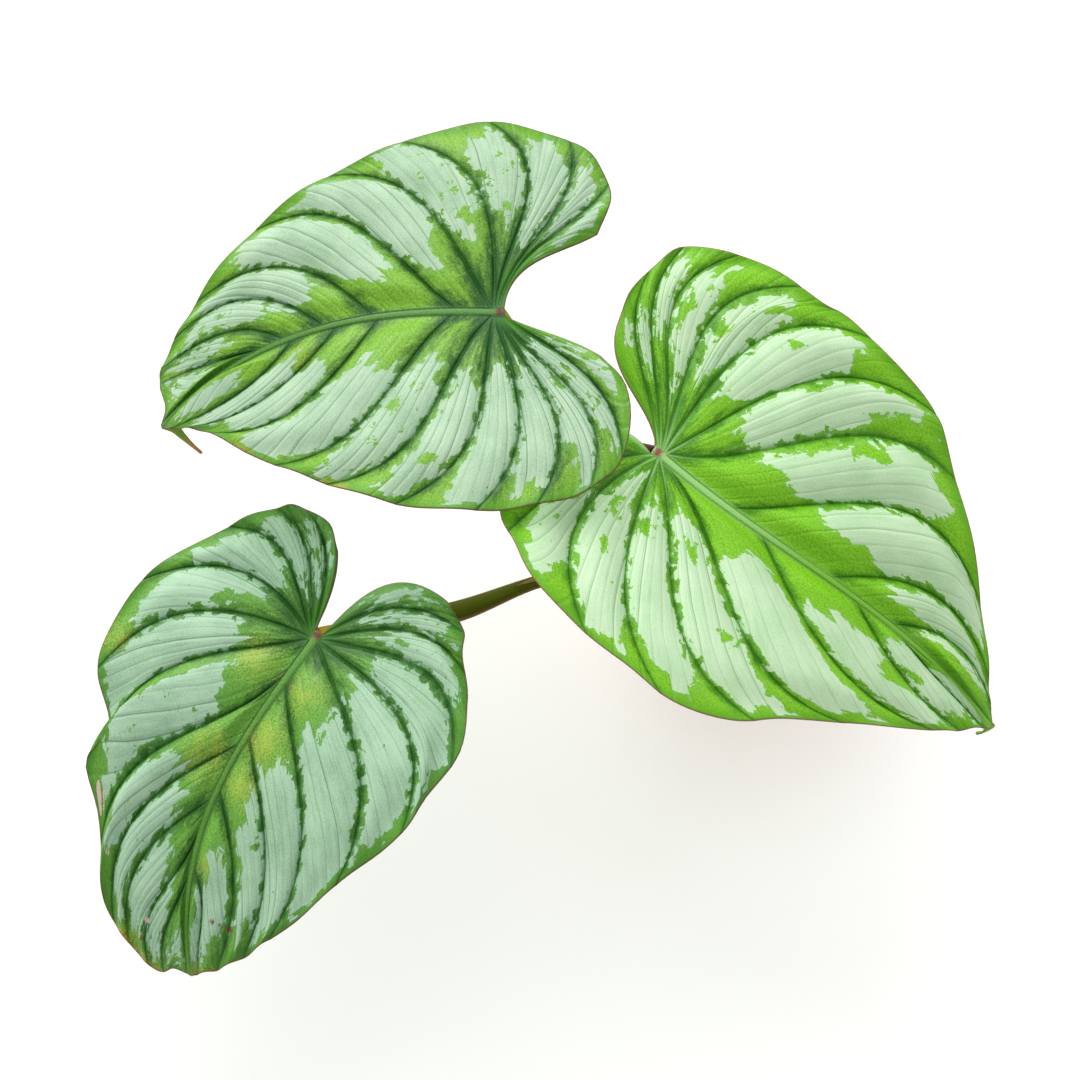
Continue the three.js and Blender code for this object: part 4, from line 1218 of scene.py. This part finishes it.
# %% Stalk finish
def stalk_finish(name, edge, top):
    """Olive with streaks along it, an edge tone on the two corners and another tone near the blade."""
    look = Finish(name, 0.6, 0.1)
    aside, share, _ = look.split(look.stored("round"))
    bark = look.stored("bark")
    body = tone(66, 86, 0)
    lines = look.noise(look.stretch(bark, (1.6, 1.6, 0.06)), 1, 3, 0.6)
    clouds = look.noise(look.stretch(bark, (0.2, 0.2, 0.05)), 1, 2)
    dots = look.noise(bark, 1.1, 2)
    surface = look.mix(0.65, look.paint(body, edge, look.plus(lines, (clouds, 0.6)), -1, 1), body)
    corner = look.sum("ABSOLUTE", aside)
    surface = look.paint(surface, edge, corner, 0.86, 0.99, 0.0, 0.7)
    surface = look.paint(surface, tone(160, 152, 90), dots, 0.7, 1.0, 0.0, 0.35)
    surface = look.paint(surface, top, share, 0.84, 0.92)
    look.colour(look.paint(surface, tone(84, 14, 26), share, 0.985, 0.998, 0.0, 0.6))
    look.bump(look.plus(look.sum("MULTIPLY", lines, 0.09), (dots, 0.03)), 0.8)
    return look


stalk_piece(STALKS[0], LEAF_1, stalk_finish("stalk skin 1", tone(110, 74, 26), tone(136, 150, 52)))
# Near its blade the second stalk turns almost black maroon: its own reddish colour with painted shade, where
# it lies under the blade.
stalk_piece(STALKS[1], LEAF_2, stalk_finish("stalk skin 2", tone(104, 50, 30), tone(52, 2, 18)))
stalk_piece(STALKS[2], LEAF_3, stalk_finish("stalk skin 3", tone(120, 76, 34), tone(138, 118, 26)))

# %% [markdown]
# ## Creeping stem and its bract
# This plant creeps: its stem lies on the soil, ringed by the scars of old leaves, and ends in a bud.
# A dry bract, the sleeve that once held the young leaf, still lies along the third stalk.
# The stem could be a bevelled curve too. Rings let its scars swell where they should.

# %% Creeping stem
STEM_POINTS = [(44, 30, 113), (24, 16, 117), (2, 2, 119), (-20, -10, 119), (-38, -24, 120), (-50, -36, 127)]
STEM_RADIUS = 11.5
STEM_NODE_SPACING = 17
STEM_NODE_RISE = 1.1
STEM_STEPS = 160
STEM_SIDES = 48


def stem_piece(look):
    rings, values, run, before = [], [], 0.0, None
    angle = angles(STEM_SIDES)
    for share in np.arange(STEM_STEPS + 1) / STEM_STEPS:
        middle, up, aside = curve_frame(STEM_POINTS, share * (len(STEM_POINTS) - 1), (0, 0, 1))
        run += 0 if before is None else np.linalg.norm(middle - before)
        before = middle
        scar = math.cos(2 * math.pi * run / STEM_NODE_SPACING) ** 8
        blunt = 0.75 + 0.25 * soft_step(share, 0, 0.06)
        bud = 1 - 0.72 * soft_step(share, 0.8, 1)
        uneven = 1 + 0.02 * np.sin(3 * angle + run / 9) + 0.015 * np.sin(7 * angle - run / 5)
        radius = (STEM_RADIUS + STEM_NODE_RISE * scar) * blunt * bud * uneven
        side, rise = radius * np.cos(angle), radius * np.sin(angle)
        rings.append(middle + np.outer(side, aside) + np.outer(rise, up))
        values += STEM_SIDES * [(scar, share, 0)]
    piece = tube("creeping_stem", rings)
    store(piece, ringed=values, bark=np.vstack(rings))
    finish_piece(piece, look, "rhizome")


def stem_finish():
    look = Finish("stem skin", 0.6, 0.35)
    scar, share, _ = look.split(look.stored("ringed"))
    bark = look.stored("bark")
    knots = look.noise(bark, 0.25, 3, 0.6)
    threads = look.noise(bark, 1.4, 2)
    surface = look.paint(tone(92, 96, 44), tone(120, 118, 58), knots, -1, 1)
    surface = look.paint(surface, tone(126, 92, 58), look.plus(scar, (knots, 0.25)), 0.25, 0.8)
    surface = look.paint(surface, tone(84, 66, 44), threads, 0.5, 1.1, 0, 0.5)
    look.colour(look.paint(surface, tone(116, 136, 58), share, 0.85, 1.0))
    look.bump(look.plus(look.sum("MULTIPLY", knots, 0.4), (threads, 0.15)), 0.9)
    return look


stem_piece(stem_finish())

# %% Dry bract
GAP = 0.35
BRACT_FROM = 0.05
BRACT_TO = 0.545
BRACT_THICKNESS = 0.8
BRACT_STEPS = 90
BRACT_ACROSS = 16


def bract_piece(stalk, look):
    """A curled strip of two skins that hugs the upper side of its stalk and ends in a point."""
    outer, inner, values = [], [], []
    for t in np.arange(BRACT_STEPS + 1) / BRACT_STEPS:
        spread = (2.5 - 2.0 * soft_step(t, 0, 1)) * (1 - 0.7 * soft_step(t, 0.93, 1))
        middle, up, aside, width = stalk_middle(stalk, BRACT_FROM + (BRACT_TO - BRACT_FROM) * t)
        for j in range(BRACT_ACROSS + 1):
            edge = 2 * j / BRACT_ACROSS - 1
            angle = math.pi / 2 + spread * edge / 2
            curl = 0.35 * abs(edge) ** 3 + 0.12 * math.sin(9 * t + 3 * edge)
            under = GAP + 0.15 + curl
            for lift, line in ((under + BRACT_THICKNESS, outer), (under, inner)):
                side = (width / 2 + lift) * math.cos(angle)
                rise = (FLAT_ABOVE * width / 2 + lift) * math.sin(angle)
                line.append(middle + side * aside + rise * up)
            values.append((edge, t, 0))
    count = len(outer)
    ids = np.arange(count).reshape(BRACT_STEPS + 1, BRACT_ACROSS + 1)
    a, b, c, d = ids[:-1, :-1], ids[:-1, 1:], ids[1:, 1:], ids[1:, :-1]
    top = np.stack([k.ravel() for k in (a, b, c, d)], 1)
    faces = top.tolist() + (top[:, ::-1] + count).tolist()
    loop = [int(k) for k in (*ids[0, :-1], *ids[:-1, -1], *ids[-1, :0:-1], *ids[:0:-1, 0])]
    faces += [[q, p, p + count, q + count] for p, q in zip(loop, loop[1:] + loop[:1])]
    piece = make_piece("dry_bract", outer + inner, faces)
    store(piece, husk=values + values)
    finish_piece(piece, look, "bract_3")


def husk_finish():
    look = Finish("dry husk", 0.75, 0.25)
    place = look.stored("husk")
    fibres = look.noise(look.stretch(place, (9, 1.2, 1)), 1, 4, 0.65)
    surface = look.paint(tone(104, 78, 32), tone(158, 128, 66), fibres, -1, 1)
    to_edge = look.sum("ABSOLUTE", look.split(place)[0])
    look.colour(look.paint(surface, tone(96, 58, 30), to_edge, 0.8, 1.0, 0, 0.6))
    look.bump(look.sum("MULTIPLY", fibres, 0.15), 0.8)
    return look


bract_piece(STALKS[2], husk_finish())

# %% [markdown]
# ## Clay pot
# The photograph shows no pot, so this is the plainest one: unglazed clay, thrown on a wheel, with a thick
# rim. It is a profile turned round an axis, as on the wheel. The three drain holes are cut with a boolean.
# Modelling by loop cuts and extrusions would give the same pot, but its sizes would be harder to follow.

# %% Pot
POT_HEIGHT = 130
POT_FLOOR = 8
POT_MOUTH_RADIUS = 68
POT_INNER_BASE_RADIUS = 45
POT_SIDES = 128
PROFILE_STEP = 2.5
DRAIN_HOLES = 3
DRAIN_RADIUS = 6
DRAIN_CIRCLE = 28


def inner_radius(height):
    share = (height - POT_FLOOR) / (POT_HEIGHT - POT_FLOOR)
    return POT_INNER_BASE_RADIUS + share * (POT_MOUTH_RADIUS - POT_INNER_BASE_RADIUS)


def turning_marks(height):
    """The faint rings that fingers leave on the wall while it turns."""
    return 0.16 * math.sin(height * 0.9) + 0.1 * math.sin(height * 0.31)


def turned_profile():
    """The outline of the wall, from the middle of the foot over the rim to the middle of the floor."""
    corners = [
        (0, 0), (48.5, 0), (50, 1.5), (69, 101), (72.5, 102), (74, 104), (75, 128), (73.5, 130),
        (69.5, 130), (inner_radius(128), 128), (45, 8), (0, 8)]
    profile = [corners[0]]
    for (r0, z0), (r1, z1) in zip(corners, corners[1:]):
        count = max(1, int(math.hypot(r1 - r0, z1 - z0) / PROFILE_STEP))
        for k in range(1, count + 1):
            radius = r0 + (r1 - r0) * k / count
            height = z0 + (z1 - z0) * k / count
            if 4 < height < 98 and radius > 49:
                radius += turning_marks(height)
            profile.append((radius, height))
    return profile


def turned(name, profile, sides):
    points = [(0, 0, profile[0][1])]
    for radius, height in profile[1:-1]:
        points += [(radius * math.cos(a), radius * math.sin(a), height) for a in angles(sides)]
    points.append((0, 0, profile[-1][1]))
    faces = [[tip, b, a] for tip, a, b in fan_faces(0, 1, sides)]
    faces += wall_faces(1, len(profile) - 2, sides)
    faces += fan_faces(len(points) - 1, len(points) - 1 - sides, sides)
    return make_piece(name, points, faces)


pot = turned("clay_pot", turned_profile(), POT_SIDES)
for k in range(DRAIN_HOLES):
    angle = 2 * math.pi * (k + 0.5) / DRAIN_HOLES
    place = (DRAIN_CIRCLE * MM * math.cos(angle), DRAIN_CIRCLE * MM * math.sin(angle), 0)
    bpy.ops.mesh.primitive_cylinder_add(vertices=32, radius=DRAIN_RADIUS * MM, depth=0.04, location=place)
    cutter = bpy.context.object
    cut = pot.modifiers.new("drain", "BOOLEAN")
    cut.operation = "DIFFERENCE"
    cut.object = cutter
    bpy.context.view_layer.objects.active = pot
    bpy.ops.object.modifier_apply(modifier=cut.name)
    bpy.data.objects.remove(cutter)
pot.data.set_sharp_from_angle(angle=math.radians(40))

# %% [markdown]
# Fired clay is never one orange. It is darker where water soaks through, and pale salts bloom near the rim
# and the foot. A flat colour would look like plastic, so three noises of different size are laid over it.

# %% Clay finish
def clay_finish():
    look = Finish("fired clay", 0.85, 0.2)
    place = look.own_place()
    damp = look.noise(place, 22, 3, 0.6)
    grit = look.noise(place, 700, 2, 0.6)
    turning = look.noise(look.stretch(place, (6, 6, 260)), 1, 2)
    surface = look.paint(tone(168, 92, 56), tone(196, 120, 80), damp, -1, 1)
    surface = look.paint(surface, tone(150, 82, 52), turning, -1.2, 1.2, 0.0, 0.3)
    bloom = look.plus(look.split(place)[2], (damp, 0.012))
    surface = look.paint(surface, tone(214, 176, 148), bloom, 0.112, 0.132, 0.0, 0.35)
    surface = look.paint(surface, tone(206, 172, 150), bloom, 0.002, 0.026, 0.3, 0.0)
    look.colour(look.paint(surface, tone(120, 66, 44), grit, 0.5, 1.2, 0.0, 0.35))
    look.bump(look.plus(look.sum("MULTIPLY", turning, 0.08), (grit, 0.05)), 0.8)
    return look


finish_piece(pot, clay_finish(), "pot")

# %% [markdown]
# ## Soil
# Potting mix is crumbs of dark peat with bits of bark. A particle system would vanish in the exported
# model, so the crumbs are real relief on one closed mesh. Bark chips are pressed into it by a seeded rule.

# %% The shape of the soil's top
SOIL_TOP = 116
SOIL_SWELL = 1.25
CRUMB_STEP = 0.7
CRUMB_REACH = 70
chance = np.random.default_rng(7)


def crumb_relief(x, y):
    """Waves of three sizes, four of each, that run in random directions."""
    height = np.zeros_like(x)
    for size, lift in ((7.0, 0.5), (3.4, 0.45), (1.9, 0.3)):
        for _ in range(4):
            turn = chance.uniform(0, math.pi)
            shift = chance.uniform(0, 9, 2)
            u = x * math.cos(turn) + y * math.sin(turn)
            v = y * math.cos(turn) - x * math.sin(turn)
            bump = np.sin(2 * np.pi * u / size + shift[0]) * np.sin(2 * np.pi * v / (1.3 * size) + shift[1])
            height += 0.5 * lift * bump
    return height


CRUMBS = np.arange(0, 2 * CRUMB_REACH, CRUMB_STEP) - CRUMB_REACH
CRUMB_MAP = crumb_relief(*np.meshgrid(CRUMBS, CRUMBS, indexing="ij"))


def crumb_level(x, y):
    places = ((np.stack([x, y]) + CRUMB_REACH) / CRUMB_STEP).astype(int)
    i, j = np.clip(places, 0, len(CRUMBS) - 1)
    return CRUMB_MAP[i, j]


def mound(radius, wall):
    """The soil is heaped a little around the stem."""
    return SOIL_TOP + np.interp(radius, (16, 32, 48, wall), (2, 1.5, 1, 0))


def swell(x, y):
    return SOIL_SWELL * np.sin(0.11 * x + 0.6) * np.cos(0.13 * y - 0.4)


# %% Bark chips
CHIPS = 260
CHIP_REACH = 62
SOIL_RADIUS = 65
CHIP_CORNERS = [
    (-1, -1, -1), (1, -1, -1), (1, 1, -1), (-1, 1, -1), (-1, -1, 1), (1, -1, 1), (1, 1, 1), (-1, 1, 1)]
CHIP_FACES = [(3, 2, 1, 0), (4, 5, 6, 7), (0, 1, 5, 4), (1, 2, 6, 5), (2, 3, 7, 6), (3, 0, 4, 7)]


def add_chip(points, faces):
    """A flat splinter of bark with eight corners, half pressed into the soil."""
    distance = CHIP_REACH * math.sqrt(chance.uniform(0.01, 1))
    turn = chance.uniform(0, 2 * math.pi)
    x, y = distance * math.cos(turn), distance * math.sin(turn)
    length, width, thick = chance.uniform(3, 8), chance.uniform(2, 4), chance.uniform(0.8, 2)
    turn, tilt = chance.uniform(0, math.pi), chance.uniform(-0.35, 0.35)
    z = mound(math.hypot(x, y), SOIL_RADIUS) + 0.3 + swell(x, y)
    start = len(points)
    for a, b, c in CHIP_CORNERS:
        u = a * length / 2 * chance.uniform(0.6, 1)
        v = b * width / 2 * chance.uniform(0.6, 1)
        w = c * thick / 2 + u * math.sin(tilt)
        chip_x = x + u * math.cos(turn) - v * math.sin(turn)
        chip_y = y + u * math.sin(turn) + v * math.cos(turn)
        points.append((chip_x, chip_y, z + w))
    faces += [[start + k for k in face] for face in CHIP_FACES]


# %% The soil as one piece
SOIL_RINGS = 90
SOIL_SIDES = 220


def soil_piece(look):
    bottom = POT_FLOOR + GAP
    wall = inner_radius(SOIL_TOP) - GAP
    points = [(0, 0, SOIL_TOP + 2)]
    for i in range(1, SOIL_RINGS + 1):
        radius = wall * i / SOIL_RINGS
        angle = angles(SOIL_SIDES, 0.5 * (i % 2))
        x, y = radius * np.cos(angle), radius * np.sin(angle)
        uneven = swell(x, y) * (1 - (radius / wall) ** 4)
        edge = 1 - 0.7 * soft_step(radius, wall - 3, wall)
        points += list(zip(x, y, mound(radius, wall) + uneven + crumb_level(x, y) * edge))
    for height in (60, bottom):
        radius = inner_radius(height) - GAP
        points += [(radius * math.cos(a), radius * math.sin(a), height) for a in angles(SOIL_SIDES)]
    faces = fan_faces(0, 1, SOIL_SIDES)
    faces += [[a, d, c, b] for a, b, c, d in wall_faces(1, SOIL_RINGS + 2, SOIL_SIDES)]
    last_ring = len(points) - SOIL_SIDES
    faces.append([last_ring + k for k in reversed(range(SOIL_SIDES))])
    ground = len(points)
    for _ in range(CHIPS):
        add_chip(points, faces)
    piece = make_piece("soil_mix", points, faces)
    kinds = np.zeros((len(points), 3))
    kinds[ground:, 0] = 1
    store(piece, kind=kinds)
    finish_piece(piece, look, "soil")


def soil_finish():
    look = Finish("potting mix", 0.95, 0.2)
    is_chip = look.split(look.stored("kind"))[0]
    place = look.own_place()
    lumps = look.noise(place, 300, 3, 0.65)
    dust = look.noise(place, 1400, 2, 0.6)
    peat = look.paint(tone(38, 27, 20), tone(82, 60, 42), lumps, -1, 1)
    peat = look.paint(peat, tone(128, 104, 78), dust, 0.6, 1.2, 0, 0.5)
    bark = look.paint(tone(92, 60, 38), tone(138, 96, 60), lumps, -1, 1)
    look.colour(look.mix(is_chip, peat, bark))
    look.bump(look.plus(look.sum("MULTIPLY", lumps, 0.5), (dust, 0.15)), 1.0)
    return look


soil_piece(soil_finish())

# %% [markdown]
# ## Floor and light
# The plant is shown alone on white, lit softly from above and behind, so the flanks of the veins that face
# the viewer fall into shade. A large lamp behind gives that, and a pale sky, brighter at the back, fills
# the rest. A sun without shadows adds a glow from the back left. More lamps would wash out the relief.

# %% Floor
bpy.ops.mesh.primitive_plane_add(size=8, location=(0, 0, 0))
floor = bpy.context.object
floor.name = "floor"
paper = Finish("pale floor", 0.9, 0.1)
mottle = paper.noise(paper.own_place(), 3, 2)
paper.colour(paper.paint(tone(246, 246, 244), tone(250, 250, 249), mottle, -1, 1))
floor.data.materials.append(paper.material)

# %% Lamps
key = bpy.data.lights.new("key", "AREA")
key.shape = "DISK"
key.size = 1.3
key.energy = 10
key_holder = place_in_scene("key", key)
key_holder.location = (-0.3, 0.6, 2.1)
to_plant = Vector((-0.12, -0.08, 0.28)) - key_holder.location
key_holder.rotation_euler = to_plant.to_track_quat("-Z", "Y").to_euler()
glow = bpy.data.lights.new("glow", "SUN")
glow.energy = 2.1
glow.angle = math.radians(12)
glow.use_shadow = False
glow_holder = place_in_scene("glow", glow)
glow_holder.rotation_euler = Vector((0.55, -0.75, -0.62)).to_track_quat("-Z", "Y").to_euler()
print("lamps:", key.name, glow.name)

# %% Sky
SKY_BRIGHT_SIDE = (-0.15, 0.75, 0.65)
SKY_DARKEST = 0.15
SKY_BRIGHTEST = 1.0

sky = bpy.data.worlds.new("sky")
sky.use_nodes = True
sky_nodes, sky_links = sky.node_tree.nodes, sky.node_tree.links
toward = sky_nodes.new("ShaderNodeVectorMath")
toward.operation = "DOT_PRODUCT"
toward.inputs[1].default_value = SKY_BRIGHT_SIDE
strength = sky_nodes.new("ShaderNodeMapRange")
strength.inputs["From Min"].default_value = -1
strength.inputs["To Min"].default_value = SKY_DARKEST
strength.inputs["To Max"].default_value = SKY_BRIGHTEST
sky_links.new(sky_nodes.new("ShaderNodeTexCoord").outputs["Generated"], toward.inputs[0])
sky_links.new(toward.outputs["Value"], strength.inputs["Value"])
sky_nodes["Background"].inputs[0].default_value = (1, 1, 1, 1)
sky_links.new(strength.outputs[0], sky_nodes["Background"].inputs[1])
bpy.context.scene.world = sky
bpy.context.scene.view_settings.view_transform = "Standard"
